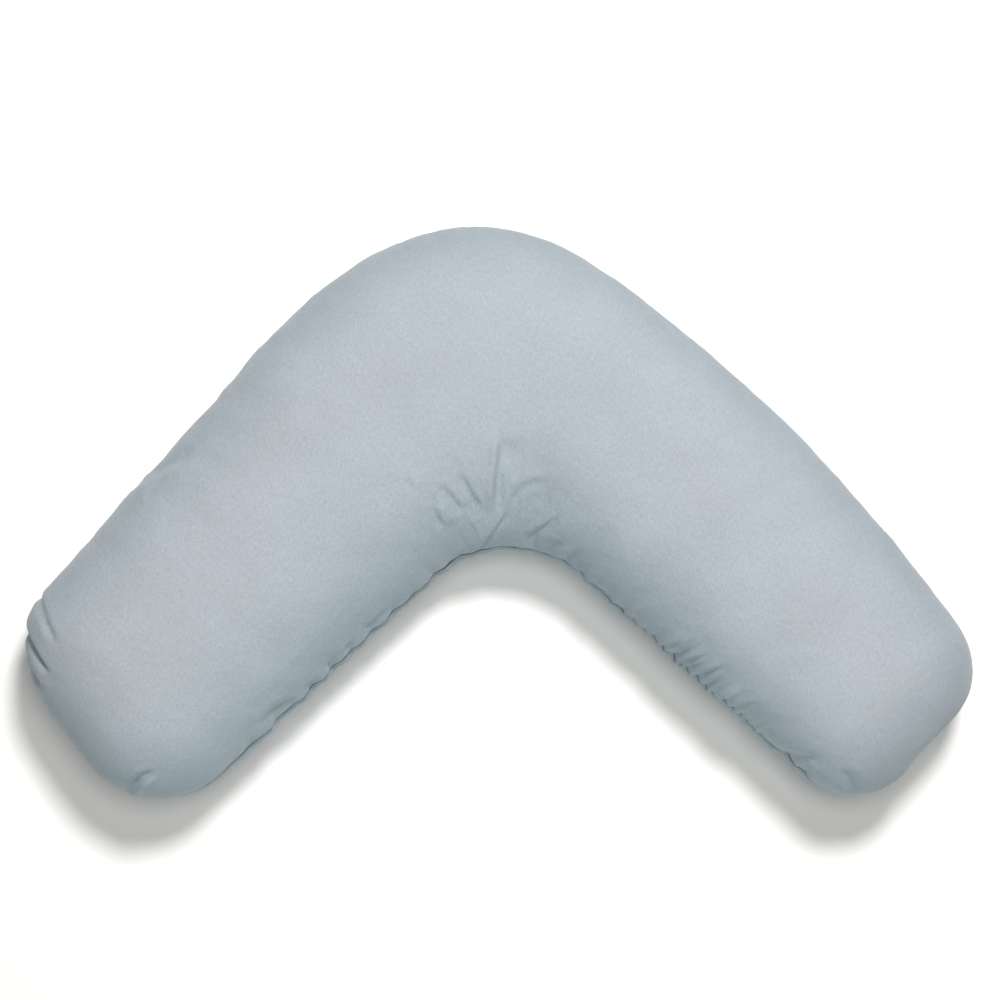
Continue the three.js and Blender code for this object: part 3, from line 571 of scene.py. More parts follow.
CROTCH_FOLDS = (
    ("hollow", 20.0, -3.2, [(14, 60), (24, 36), (34, 12), (48, -6)]),
    ("hollow", 11.0, -2.0, [(-34, 30), (-22, 10), (-12, -6)]),
    ("fold", 4.0, -3.0, [(5, 62), (4, 44), (2, 28), (1, 12), (2, -2)]),
    ("ridge", 3.8, 1.3, [(6, 48), (7, 24), (7, 6), (6, -2)]),
    ("fold", 2.6, 2.6, [(-20, -31), (-11, -24), (-4, -15), (3, -4), (7, 6)]),
    ("fold", 3.8, 2.0, [(-40, 25), (-32, 15), (-22, 3)]),
    ("fold", 3.6, 2.0, [(-46, 8), (-42, -1), (-37, -11)]),
    ("fold", 3.6, 0.9, [(-67, 32), (-60, 19)]),
    ("fold", 3.6, 1.4, [(-26, 34), (-16, 16), (-8, 4)]),
    ("ridge", 4.2, 1.3, [(6, 6), (10, 14), (16, 23), (24, 28), (42, 30)]),
    ("groove", 3.4, 1.0, [(11, 8), (17, 17), (26, 22), (40, 25)]),
    ("groove", 2.4, 2.4, [(24, -23), (31, -16), (41, -10), (49, -1)]),
    ("ridge", 2.6, 1.2, [(22, -18), (34, -9), (44, 0)]),
    ("groove", 2.0, 1.6, [(38, -32), (44, -27), (51, -24)]),
    ("groove", 2.0, 1.6, [(49, -43), (55, -36), (64, -31)]),
    ("ridge", 2.4, 1.5, [(43, -38), (50, -32), (57, -28)]),
    ("ridge", 2.4, 1.3, [(30, -28), (38, -21), (47, -17)]),
)
RIGHT_END_FOLDS = (
    ("ridge", 5.6, 2.4, [(163, -139), (177, -142), (193, -146)]),
    ("groove", 4.0, 2.6, [(217, -196), (235, -193), (254, -193)]),
    ("groove", 4.0, 2.6, [(238, -200), (247, -209)]),
    ("groove", 4.8, 2.8, [(270, -200), (279, -211), (287, -222)]),
)
END_FOLDS = LEFT_END_FOLDS + RIGHT_END_FOLDS
SIDE_FOLDS = OUTER_EDGE_FOLDS + LEFT_INNER_FOLDS + CROTCH_FOLDS
# Puckers that leave the right arm's seam at a slant: from, to and pitch in millimetres, angle in degrees
PUCKER_FROM, PUCKER_TO = (55.0, -53.0), (204.0, -184.0)
PUCKER_PITCH, PUCKER_ANGLE = 8.4, 27.0


def pucker_folds():
    """Slanting puckers along the inner edge of the right arm, strongest past its middle."""
    random = np.random.default_rng(41)
    start, stop = np.array(PUCKER_FROM), np.array(PUCKER_TO)
    whole = np.linalg.norm(stop - start)
    heading = (stop - start) / whole
    folds, along = [], 0.0
    while along < whole:
        part = along / whole
        strength = 0.5 + 0.8 * math.exp(-((part - 0.60) / 0.25) ** 2)
        angle = math.radians(PUCKER_ANGLE + random.uniform(-8, 8))
        length = random.uniform(22, 36) * (0.6 + 0.5 * strength)
        root = start + heading * along + random.uniform(-2.0, 2.0, 2)
        tip = root + length * np.array([math.cos(angle), math.sin(angle)])
        bend = (root + tip) / 2 + random.uniform(-1.5, 1.5, 2)
        width, height = random.uniform(1.7, 2.5), strength * random.uniform(1.4, 2.6)
        folds.append(("pucker", width, height, [root, bend, tip]))
        along += PUCKER_PITCH * random.uniform(0.75, 1.25)
    return folds


def fold_profile(kind, across, width):
    """Height across a fold of width 1: a fold is steep on its right side and soft on its left."""
    near = across / width
    if kind in ("ridge", "hollow"):
        return np.exp(-near ** 2)
    if kind == "groove":
        return 0.3 * np.exp(-((np.abs(near) - 2.0) / 1.1) ** 2) - np.exp(-np.abs(near) ** 1.3)
    body = np.exp(-(np.where(near >= 0, near / 2.6, near / 0.7)) ** 2)
    return body - 0.55 * np.exp(-((near + 1.5) / 0.8) ** 2)


def fold_height(points, folds):
    """Height of the folds, in metres, at points given in the plan in metres."""
    x, y = points[..., 0] / MM, points[..., 1] / MM
    total = np.zeros(x.shape)
    for kind, width, height, path in folds:
        path = np.asarray(path, float)
        low, high = path.min(axis=0) - 4 * width, path.max(axis=0) + 4 * width
        where = np.nonzero((x > low[0]) & (x < high[0]) & (y > low[1]) & (y < high[1]))
        if not len(where[0]):
            continue
        here = np.stack([x[where], y[where]], axis=-1)
        steps = np.diff(path, axis=0)
        lengths = np.linalg.norm(steps, axis=1)
        starts = np.r_[0.0, np.cumsum(lengths)]
        nearest = np.full(len(here), 1e9)
        across, along = np.zeros(len(here)), np.zeros(len(here))
        for i, step in enumerate(steps):
            heading = step / lengths[i]
            offset = here - path[i]
            t = offset @ heading
            held = np.clip(t, 0, lengths[i])
            away = offset - held[:, None] * heading
            distance = np.linalg.norm(away, axis=1)
            side = np.where(heading[0] * offset[:, 1] - heading[1] * offset[:, 0] >= 0, 1.0, -1.0)
            closer = distance < nearest
            nearest = np.where(closer, distance, nearest)
            across = np.where(closer, distance * side, across)
            along = np.where(closer, (starts[i] + held) / starts[-1], along)
        fade = smoothstep(-0.08, 0.22, along) * (1 - smoothstep(0.72, 1.04, along))
        if kind == "pucker":
            fade = 1 - smoothstep(0.45, 1.0, along)
        total[where] += MM * height * fade * fold_profile(kind, across, width)
    return total


def crotch_crumple(points):
    """Small radial creases where the cloth is pulled together above the inner corner of the V."""
    x, y = points[..., 0] / MM - 8.0, points[..., 1] / MM + 70.0
    spoke, away = np.arctan2(x, y), np.hypot(x, y)
    noise = cloth_noise(np.stack([spoke * 100.0, away * 0.30], axis=-1), 9.0, 51)
    finer = cloth_noise(np.stack([spoke * 100.0, away * 0.45], axis=-1), 4.6, 52)
    creases = (1 - np.abs(noise)) ** 3 + 0.5 * (1 - np.abs(finer)) ** 3 - 0.6
    where = np.exp(-((away - 78.0) / 34.0) ** 2) * np.exp(-((spoke - 0.10) / 0.75) ** 2)
    return 0.0011 * creases * where


def circular(form, centre, reach):
    """1 near a place of the edge, given as a share of its whole length, fading to 0 at reach."""
    away = np.abs((form.run / form.length - centre + 0.5) % 1.0 - 0.5)
    return 1.0 - smoothstep(reach * 0.5, reach, away)


def cover_moves(form, skin, softness):
    """How far each point of the cover's skin moves along its normal."""
    depth, points = skin.depth, skin.points
    inner = np.zeros(len(form.run))
    inner[:form.count] = 1.0
    kernel = np.hanning(61)
    inner = np.convolve(np.r_[inner[-60:], inner, inner[:60]], kernel / kernel.sum(), "same")[60:-60]
    lumps = cloth_noise(points, 0.075, 3) + 0.45 * cloth_noise(points, 0.034, 4)
    lumps += 0.2 * cloth_noise(points, 0.017, 5)
    total = softness.lumps * lumps * smoothstep(0.0, 0.05, depth)
    run = np.broadcast_to(form.run, depth.shape)
    ring = form.ring(depth.shape)
    wave = cloth_noise(np.stack([ring[..., 0], ring[..., 1], depth * 0.22], axis=-1), 0.0082, 11)
    wave += 0.7 * cloth_noise(np.stack([ring[..., 0], ring[..., 1], depth * 0.25], axis=-1), 0.0150, 12)
    patches = 0.55 + 0.45 * cloth_noise(ring, 0.075, 13)
    reach = np.where(skin.top, 0.020, 0.016)
    near_seam = np.exp(-depth / reach) * smoothstep(-0.002, 0.004, depth)
    total += softness.gathers * (0.55 + 0.45 * inner) * patches * wave * near_seam
    scallops = np.abs(np.sin(run * math.pi / 0.0232 + 1.6 * cloth_noise(ring, 0.05, 14)))
    left_inner = circular(form, 0.075, 0.085)
    total += 0.0026 * left_inner * (scallops - 0.55) * np.exp(-depth / 0.014)
    held = 1.0 if skin.top else 1.0 - 0.45 * smoothstep(0.001, 0.006, depth)
    slack = form.end_ease() + 0.0038 * inner * held
    total -= slack * np.clip(np.cos(skin.angles()), 0, 1) ** 1.5
    near = 1.0 - form.zip_near
    groove = 0.0019 * np.exp(-(depth / 0.0019) ** 1.4)
    lip = 0.0006 * np.exp(-((depth - 0.0055) / 0.0036) ** 2)
    total += (lip - groove * (0.6 + 0.6 * inner)) * near
    leaning = 0.2 + 0.8 * smoothstep(0.10, 0.42, np.abs(skin.normals[..., 2]))
    folds = fold_height(points, SIDE_FOLDS) * leaning + fold_height(points, END_FOLDS + tuple(pucker_folds()))
    if skin.top:
        total += folds + crotch_crumple(points)
    else:
        total += folds * np.exp(-(depth / 0.008) ** 2)
        reach_down = smoothstep(0.0, 0.020, points[..., 2])
        total = total * reach_down
        total[-1 - REST_ROWS:] *= 0
    calm = form.zip_near * (1 - smoothstep(0.016, 0.045, depth))
    return total * (1 - 0.93 * calm)


# ---- Cloth simulation of the stuffed cover ----
# The simulated form lies this far inside the cover at the sides and at the faces
FORM_SIDE, FORM_FACE = 0.002, 0.001
# Cell of the even mesh, reach of the gathering round the seam, and how far up the rest face is held
VOXEL, GATHER_REACH, HELD_BELOW = 0.0055, 0.010, 0.004
FRAMES, BROAD_STEPS = 20, 40


def closed_body(name, skins, step):
    """One closed surface from an upper and a lower skin, and the line where they meet."""
    (upper, _, crown), (lower, _, _) = (skin.every(step) for skin in skins)
    middle = (upper[0] + lower[0]) / 2
    upper[0], lower[0] = middle, middle
    first, second = skin_vertices(upper, crown), skin_vertices(lower, crown)
    faces = grid_faces(len(upper), upper.shape[1], crown, 0, False)
    faces += grid_faces(len(lower), lower.shape[1], crown, len(first), True)
    return make_object(name, np.concatenate([first, second]), faces), middle


def merge_doubles(mesh, distance):
    bm = bmesh.new()
    bm.from_mesh(mesh)
    bmesh.ops.remove_doubles(bm, verts=bm.verts, dist=distance)
    bm.to_mesh(mesh)
    bm.free()


def vertex_array(mesh):
    places = np.zeros(len(mesh.vertices) * 3)
    mesh.vertices.foreach_get("co", places)
    return places.reshape(-1, 3)


def apply_modifiers(piece):
    """The evaluated mesh, with every modifier taken off the piece."""
    depsgraph = bpy.context.evaluated_depsgraph_get()
    mesh = bpy.data.meshes.new_from_object(piece.evaluated_get(depsgraph))
    piece.modifiers.clear()
    piece.data = mesh
    return mesh


def spread_out(moves, mesh, times):
    """The broad part of a movement: each point takes the mean of its neighbours, many times."""
    edges = np.zeros(len(mesh.edges) * 2, np.int32)
    mesh.edges.foreach_get("vertices", edges)
    first, second = edges.reshape(-1, 2).T
    ends, others = np.r_[first, second], np.r_[second, first]
    count = np.maximum(np.bincount(ends, minlength=len(moves)), 1)
    for _ in range(times):
        total = np.stack([np.bincount(ends, moves[others, k], len(moves)) for k in range(3)], axis=1)
        moves = 0.5 * moves + 0.5 * total / count[:, None]
    return moves


def simulate_cover(form, softness):
    """Inflates a copy of the cover whose seam is gathered, and gives how far each point of it moved."""
    skins = [Skin(form, top, FORM_SIDE, FORM_FACE) for top in (True, False)]
    piece, seam = closed_body("cover_form", skins, 4)
    merge_doubles(piece.data, 1e-5)
    remesh = piece.modifiers.new("even cloth", "REMESH")
    remesh.mode = "VOXEL"
    remesh.voxel_size = VOXEL
    mesh = apply_modifiers(piece)
    before = vertex_array(mesh)
    tree = KDTree(len(seam))
    for i, place in enumerate(seam):
        tree.insert(place, i)
    tree.balance()
    gather, held = piece.vertex_groups.new(name="gather"), piece.vertex_groups.new(name="held")
    for i, place in enumerate(before):
        weight = math.exp(-(tree.find(place)[2] / GATHER_REACH) ** 2)
        if weight > 0.02:
            gather.add([i], weight, "REPLACE")
        if place[2] < HELD_BELOW:
            held.add([i], 1.0, "REPLACE")
    cloth = piece.modifiers.new("cloth", "CLOTH")
    body = cloth.settings
    body.quality = 5
    body.mass = 0.25
    body.tension_stiffness = body.compression_stiffness = 18
    body.shear_stiffness = 8
    body.bending_stiffness = 0.35
    body.use_pressure = True
    body.uniform_pressure_force = softness.pressure
    body.effector_weights.gravity = 0
    body.vertex_group_mass = held.name
    body.vertex_group_shrink = gather.name
    body.shrink_min = 0.0
    body.shrink_max = softness.seam_shrink
    cloth.collision_settings.use_collision = False
    cloth.collision_settings.use_self_collision = False
    scene = bpy.context.scene
    scene.frame_start, scene.frame_end = 1, FRAMES
    for number in range(1, FRAMES + 1):
        scene.frame_set(number)
    after = vertex_array(apply_modifiers(piece))
    scene.frame_set(1)
    piece.data.calc_loop_triangles()
    triangles = np.array([t.vertices[:] for t in piece.data.loop_triangles])
    moves = after - before
    moves = moves - spread_out(moves, piece.data, BROAD_STEPS)
    lengths = np.linalg.norm(moves, axis=1, keepdims=True)
    moves *= softness.swell * np.tanh(lengths / softness.swell) / np.maximum(lengths, 1e-9)
    bpy.data.objects.remove(piece)
    return before, triangles, moves


def simulated_moves(result, skin):
    """The simulated movement along the normal at each point of a skin."""
    before, triangles, moves = result
    tree = BVHTree.FromPolygons(before.tolist(), triangles.tolist())
    points = skin.points.reshape(-1, 3)
    hit = np.zeros(len(points), int)
    place = np.zeros((len(points), 3))
    for i, point in enumerate(points.tolist()):
        found = tree.find_nearest(point)
        hit[i], place[i] = found[2], found[0]
    corners = triangles[hit]
    a, b, c = (before[corners[:, k]] for k in range(3))
    ab, ac, ap = b - a, c - a, place - a
    d00, d01, d11 = (ab * ab).sum(1), (ab * ac).sum(1), (ac * ac).sum(1)
    d20, d21 = (ap * ab).sum(1), (ap * ac).sum(1)
    scale = np.maximum(d00 * d11 - d01 * d01, 1e-18)
    v, w = (d11 * d20 - d01 * d21) / scale, (d00 * d21 - d01 * d20) / scale
    shares = np.stack([1 - v - w, v, w], axis=1)
    move = (moves[corners] * shares[..., None]).sum(axis=1)
    return (move * skin.normals.reshape(-1, 3)).sum(1).reshape(skin.points.shape[:2])


# ---- Materials ----
class Value:
    """A socket of a node tree on which arithmetic adds Math nodes."""

    def __init__(self, nodes, socket):
        self.nodes, self.socket = nodes, socket

    def maths(self, operation, *values, **settings):
        options = dict(operation=operation, **settings)
        return self.nodes.add("ShaderNodeMath", options, dict(enumerate(values)))

    def __add__(self, other):
        return self.maths("ADD", self, other)

    def __sub__(self, other):
        return self.maths("SUBTRACT", self, other)

    def __mul__(self, other):
        return self.maths("MULTIPLY", self, other)


class Nodes:
    """A node tree to which any node is added by its type, its settings and the values of its sockets."""

    def __init__(self, tree):
        self.tree = tree

    def add(self, kind, options=None, inputs=None, output=0):
        node = self.tree.nodes.new(kind)
        for name, value in (options or {}).items():
            setattr(node, name, value)
        for key, value in (inputs or {}).items():
            socket = node.inputs[key]
            if isinstance(value, Value):
                self.tree.links.new(value.socket, socket)
            else:
                socket.default_value = value
        return Value(self, node.outputs[output])

    def place(self):
        """Object coordinates."""
        return self.add("ShaderNodeTexCoord", None, None, 3)

    def noise(self, vector, scale, detail, roughness=0.5, distortion=0.0):
        return self.add("ShaderNodeTexNoise", None, {"Vector": vector, "Scale": scale, "Detail": detail,
                                                     "Roughness": roughness, "Distortion": distortion})

    def bands(self, way, vector, scale, distortion, detail=1.0, detail_scale=1.0):
        return self.add("ShaderNodeTexWave", {"wave_type": "BANDS", "bands_direction": way},
                        {"Vector": vector, "Scale": scale, "Distortion": distortion, "Detail": detail,
                         "Detail Scale": detail_scale}, 1)

    def fading(self, value, low, high):
        """1 up to low, falling smoothly to 0 at high."""
        return self.add("ShaderNodeMapRange", {"interpolation_type": "SMOOTHSTEP"},
                        {"Value": value, "From Min": low, "From Max": high, "To Min": 1.0, "To Max": 0.0})

    def mixed(self, factor, first, second):
        return self.add("ShaderNodeMix", {"data_type": "RGBA"}, {0: factor, 6: first, 7: second}, 2)


class Finish(Nodes):
    """A material whose Principled shader takes plain numbers or values."""

    def __init__(self, name, tint, **sockets):
        self.material = bpy.data.materials.new(name)
        self.material.use_nodes = True
        super().__init__(self.material.node_tree)
        self.shader = self.tree.nodes["Principled BSDF"]
        self.material.diffuse_color = (*tint, 1.0)
        for key, value in sockets.items():
            self.set(key.replace("_", " ").title().replace("Ior", "IOR"), value)

    def set(self, socket, value):
        if isinstance(value, Value):
            self.tree.links.new(value.socket, self.shader.inputs[socket])
        else:
            self.shader.inputs[socket].default_value = value

    def bump(self, height, strength, distance, before=None):
        inputs = {"Height": height, "Strength": strength, "Distance": distance}
        if before is not None:
            inputs["Normal"] = before
        return self.add("ShaderNodeBump", None, inputs)


def tinted(tint, factor):
    return (*(min(1.0, part * factor) for part in tint), 1.0)


def stretched(nodes, vector, scale):
    return nodes.add("ShaderNodeMapping", None, {"Vector": vector, "Scale": scale})


# Tint multiplied into the cloth towards the seams: painted shade, darker and more teal on the sides than on
# the crown
EDGE_PAINTED_SHADE = (0.80, 0.865, 0.885)
# Scale of a wave texture that has one wave to a metre
WAVES_PER_METRE = 0.314


def woven(name, tint, pitch=0.00042, slub=1.0, bump=1.0, contrast=0.20, seam_shade=0.0):
    """Plain-weave cloth on the piece's own flat layout, with slubs along both threads; with seam_shade it
    also gets painted shade, darker and more teal from the crown towards the seams, and a painted shadow line
    in the seam's groove.
    """
    nodes = Finish(name, tint, roughness=0.9, sheen_weight=0.22, sheen_roughness=0.45)
    nodes.set("Specular IOR Level", 0.25)
    flat = nodes.add("ShaderNodeUVMap", {"uv_map": "cloth"})
    warp, weft = (nodes.bands(way, flat, WAVES_PER_METRE / pitch, 0.6, 1.0, 0.7) for way in ("X", "Y"))
    weave = warp + weft - warp * weft * 1.4
    slub_up = nodes.noise(stretched(nodes, flat, (1.0, 0.30, 1.0)), 820.0, 2.0, 0.6)
    slub_across = nodes.noise(stretched(nodes, flat, (0.34, 1.0, 1.0)), 780.0, 2.0, 0.6)
    grain = slub_up * 0.6 + slub_across * 0.4
    washed = nodes.noise(flat, 14.0, 3.0, 0.55)
    crush = nodes.noise(flat, 95.0, 3.0, 0.6, 0.4)
    tone = (grain - 0.5) * (1.6 * slub) + (washed - 0.5) * 0.5 + weave * 0.12 + 0.45
    tone = tone.maths("ADD", tone, 0.0, use_clamp=True)
    cloth = nodes.mixed(tone, tinted(tint, 1 - contrast), tinted(tint, 1 + contrast))
    if seam_shade:
        # Painted shade: the cloth darkens from the crown towards the seams (the mask named worn here is this
        # painted shade, not wear)
        rise = nodes.add("ShaderNodeAttribute", {"attribute_name": "crown"}, None, 2)
        worn = nodes.fading(rise, 0.15, 0.80)
        shaded_cloth = nodes.add("ShaderNodeMix", {"data_type": "RGBA", "blend_type": "MULTIPLY"},
                         {0: 1.0, 6: cloth, 7: (*EDGE_PAINTED_SHADE, 1.0)}, 2)
        cloth = nodes.mixed(worn, cloth, shaded_cloth)
        # Painted shadow: a near-black line along the seam's groove, where shade falls between the panels
        depth = nodes.add("ShaderNodeAttribute", {"attribute_name": "seam"}, None, 2)
        line = nodes.fading(depth, 0.0006, 0.0027)
        cloth = nodes.mixed(line * seam_shade, cloth, tinted(tint, 0.16))
    nodes.set("Base Color", cloth)
    soft = nodes.bump(crush, 0.32 * bump, 0.0020)
    rough = nodes.bump(grain, 0.75 * bump, 0.0006, soft)
    nodes.set("Normal", nodes.bump(weave, 0.5 * bump, 0.00012, rough))
    return nodes.material


def thread_finish(name, tint):
    nodes = Finish(name, tint, roughness=0.6, sheen_weight=0.3)
    place = nodes.place()
    twist = nodes.bands("DIAGONAL", place, 900.0, 1.0)
    nodes.set("Base Color", nodes.mixed(twist, tinted(tint, 0.78), tinted(tint, 1.12)))
    nodes.set("Normal", nodes.bump(twist, 0.5, 0.0001))
    return nodes.material


def tape_finish(name, tint):
    """Twill tape: a fine slanting rib on object coordinates."""
    nodes = Finish(name, tint, roughness=0.75, sheen_weight=0.2)
    place = nodes.place()
    rib = nodes.bands("Z", place, 420.0, 1.5)
    cross = nodes.bands("DIAGONAL", place, 380.0, 0.5, 2.0)
    twill = rib * 0.5 + cross * 0.5
    nodes.set("Base Color", nodes.mixed(twill, tinted(tint, 0.82), tinted(tint, 1.12)))
    nodes.set("Normal", nodes.bump(twill, 0.6, 0.0002))
    return nodes.material


def nylon_finish(name, tint):
    nodes = Finish(name, tint, roughness=0.32)
    place = nodes.place()
    haze = nodes.noise(place, 500.0, 2.0)
    nodes.set("Base Color", nodes.mixed(haze, tinted(tint, 0.9), tinted(tint, 1.1)))
    nodes.set("Roughness", haze * 0.2 + 0.24)
    return nodes.material


def metal_finish(name, tint):
    """Die-cast metal, brushed and a little worn."""
    nodes = Finish(name, tint, metallic=1.0)
    place = nodes.place()
    brushed = nodes.noise(stretched(nodes, place, (1.0, 1.0, 14.0)), 420.0, 3.0)
    worn = nodes.noise(place, 190.0, 4.0, 0.65)
    nodes.set("Base Color", nodes.mixed(worn, tinted(tint, 0.82), tinted(tint, 1.12)))
    nodes.set("Roughness", worn * 0.22 + brushed * 0.16 + 0.14)
    nodes.set("Normal", nodes.bump(brushed, 0.12, 0.0002))
    return nodes.material


def fibre_finish(name, tint):
    nodes = Finish(name, tint, roughness=1.0, sheen_weight=0.5)
    place = nodes.place()
    wisps = nodes.noise(place, 160.0, 6.0, 0.75, 1.2)
    tufts = nodes.noise(place, 34.0, 3.0)
    nodes.set("Base Color", nodes.mixed(tufts, tinted(tint, 0.93), tinted(tint, 1.04)))
    nodes.set("Normal", nodes.bump(wisps, 0.8, 0.002, nodes.bump(tufts, 0.5, 0.006)))
    return nodes.material


def floor_finish(name, tint):
    nodes = Finish(name, tint, roughness=0.9)
    place = nodes.place()
    tooth = nodes.noise(place, 300.0, 2.0)
    nodes.set("Base Color", nodes.mixed(tooth, tinted(tint, 0.996), tinted(tint, 1.0)))
    nodes.set("Specular IOR Level", 0.1)
    return nodes.material


def finish_piece(piece, material, body, slot, *nodes):
    """Gives a made piece its material and its body, and hides the imported nodes it stands for; the slot is
    not used.
    """
    piece.data.materials.clear()
    piece.data.materials.append(material)
    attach(piece, body)
    if nodes:
        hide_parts(*nodes)


# ---- Geometry Nodes: stitches and teeth along a path ----
def group_socket(tree, name, kind, into=True):
    return tree.interface.new_socket(name=name, in_out="INPUT" if into else "OUTPUT", socket_type=kind)


def row_tree():
    """Small rounded bodies set along a path at an even pitch, turned to its run and to the wall's normal."""
    tree = bpy.data.node_groups.new("row_along_path", "GeometryNodeTree")
    group_socket(tree, "Geometry", "NodeSocketGeometry")
    group_socket(tree, "Pitch", "NodeSocketFloat")
    group_socket(tree, "Size", "NodeSocketVector")
    group_socket(tree, "Sides", "NodeSocketInt")
    group_socket(tree, "Material", "NodeSocketMaterial")
    group_socket(tree, "Geometry", "NodeSocketGeometry", False)
    nodes = Nodes(tree)
    given = tree.nodes.new("NodeGroupInput")
    path, pitch, extent, sides, material = (Value(nodes, given.outputs[i]) for i in range(5))
    curve = nodes.add("GeometryNodeMeshToCurve", None, {0: path})
    resample = tree.nodes.new("GeometryNodeResampleCurve")
    resample.mode = "LENGTH"
    tree.links.new(curve.socket, resample.inputs["Curve"])
    tree.links.new(pitch.socket, resample.inputs["Length"])
    body = nodes.add("GeometryNodeMeshUVSphere", None, {"Segments": sides, "Rings": 5, "Radius": 0.5})
    tangent = nodes.add("GeometryNodeInputTangent")
    along = nodes.add("FunctionNodeAlignRotationToVector", {"axis": "X"}, {"Vector": tangent})
    normal = nodes.add("GeometryNodeInputNamedAttribute", {"data_type": "FLOAT_VECTOR"}, {"Name": "wall"})
    facing = nodes.add("FunctionNodeAlignRotationToVector", {"axis": "Z", "pivot_axis": "X"},
                       {"Rotation": along, "Vector": normal})
    placed = nodes.add("GeometryNodeInstanceOnPoints", None,
                       {"Points": Value(nodes, resample.outputs[0]), "Instance": body,
                        "Rotation": facing, "Scale": extent})
    real = nodes.add("GeometryNodeRealizeInstances", None, {0: placed})
    made = nodes.add("GeometryNodeSetMaterial", None, {"Geometry": real, "Material": material})
    tree.links.new(made.socket, tree.nodes.new("NodeGroupOutput").inputs[0])
    return tree


def make_row(name, points, normals, pitch, extent, material, sides=8, closed=False):
    """A row of stitches or teeth along a path, as one plain mesh."""
    tree = bpy.data.node_groups.get("row_along_path") or row_tree()
    count = len(points)
    edges = [(i, i + 1) for i in range(count - 1)]
    if closed:
        edges.append((count - 1, 0))
    mesh = bpy.data.meshes.new(name)
    mesh.from_pydata(points.tolist(), edges, [])
    wall = mesh.attributes.new("wall", "FLOAT_VECTOR", "POINT")
    wall.data.foreach_set("vector", normals.astype(np.float32).ravel())
    piece = bpy.data.objects.new(name, mesh)
    bpy.context.scene.collection.objects.link(piece)
    modifier = piece.modifiers.new("row", "NODES")
    modifier.node_group = tree
    given = {"Pitch": pitch, "Size": extent, "Sides": sides, "Material": material}
    for item in tree.interface.items_tree:
        if item.in_out == "INPUT" and item.name in given:
            modifier[item.identifier] = given[item.name]
    mesh = apply_modifiers(piece)
    if not len(mesh.polygons):
        raise RuntimeError(name + ": the row came out empty")
    mesh.name = name
    for layer in list(mesh.uv_layers):
        mesh.uv_layers.remove(layer)
    mesh.polygons.foreach_set("use_smooth", [True] * len(mesh.polygons))
    return piece


def stitch_row(name, points, normals, material, closed=False):
    stitch = settings()[2]
    extent = (stitch.length, stitch.thread, stitch.thread)
    return make_row(name, points, normals, stitch.pitch, extent, material, closed=closed)


def rounded_copy(name, node, width):
    """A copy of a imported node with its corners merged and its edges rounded."""
    mesh = frame["nodes"][node].data.copy()
    mesh.name = name
    mesh.materials.clear()
    bm = bmesh.new()
    bm.from_mesh(mesh)
    bmesh.ops.remove_doubles(bm, verts=bm.verts, dist=1e-6)
    bmesh.ops.dissolve_limit(bm, angle_limit=math.radians(1.0), verts=bm.verts, edges=bm.edges)
    bm.to_mesh(mesh)
    bm.free()
    for layer in list(mesh.uv_layers):
        mesh.uv_layers.remove(layer)
    piece = bpy.data.objects.new(name, mesh)
    bpy.context.scene.collection.objects.link(piece)
    bevel = piece.modifiers.new("rounding", "BEVEL")
    bevel.width = width
    bevel.segments = 2
    bevel.limit_method = "ANGLE"
    bevel.angle_limit = math.radians(28)
    bevel.harden_normals = False
    apply_modifiers(piece)
    piece.data.name = name
    piece.data.polygons.foreach_set("use_smooth", [False] * len(piece.data.polygons))
    return piece


# ---- Operators ----
MADE = {}


def pillow():
    if "form" not in MADE:
        MADE["form"] = Form(settings()[0])
    return MADE["form"]


def cover_skins():
    """The outer skins of both cover panels, after the simulation, the gathers and the folds."""
    if "skins" not in MADE:
        form, softness = pillow(), settings()[1]
        skins = [Skin(form, True, open_slot=True), Skin(form, False, open_slot=True)]
        result = simulate_cover(form, softness)
        for skin in skins:
            moves = cover_moves(form, skin, softness)
            if result is not None:
                puffed = simulated_moves(result, skin)
                calm = form.zip_near * (1 - smoothstep(0.016, 0.045, skin.depth))
                near_seam = 0.20 + 0.80 * np.exp(-skin.depth / 0.040)
                puffed = (puffed - np.median(puffed)) * (1 - calm) * near_seam * softness.tension
                if not skin.top:
                    puffed = puffed * smoothstep(0.0, 0.020, skin.points[..., 2])
                moves = moves + puffed
            skin.moved(moves)
            skin.moves = moves
        MADE["skins"] = skins
    return MADE["skins"]


# Name, direction from the pillow, width, depth, watts and tint of each light
LIGHTS = (("overhead", (0.05, 0.04, 1.0), 1.2, 1.2, 36.0, (1.0, 0.965, 0.93)),
          ("key", (0.16, 0.50, 1.0), 0.62, 0.62, 84.0, (1.0, 0.99, 0.975)),
          ("fill", (-0.10, -1.0, 0.09), 2.4, 0.3, 27.0, (0.80, 1.0, 0.96)))
LIGHT_DISTANCE, FLOOR_HALF = 3.0, 4.0
# The camera sees VIEW_WIDTH metres across at the height of the pillow's widest line
CAMERA_HEIGHT, WIDEST_HEIGHT, VIEW_WIDTH, SENSOR = 2.6, 0.066, 0.8, 36.0


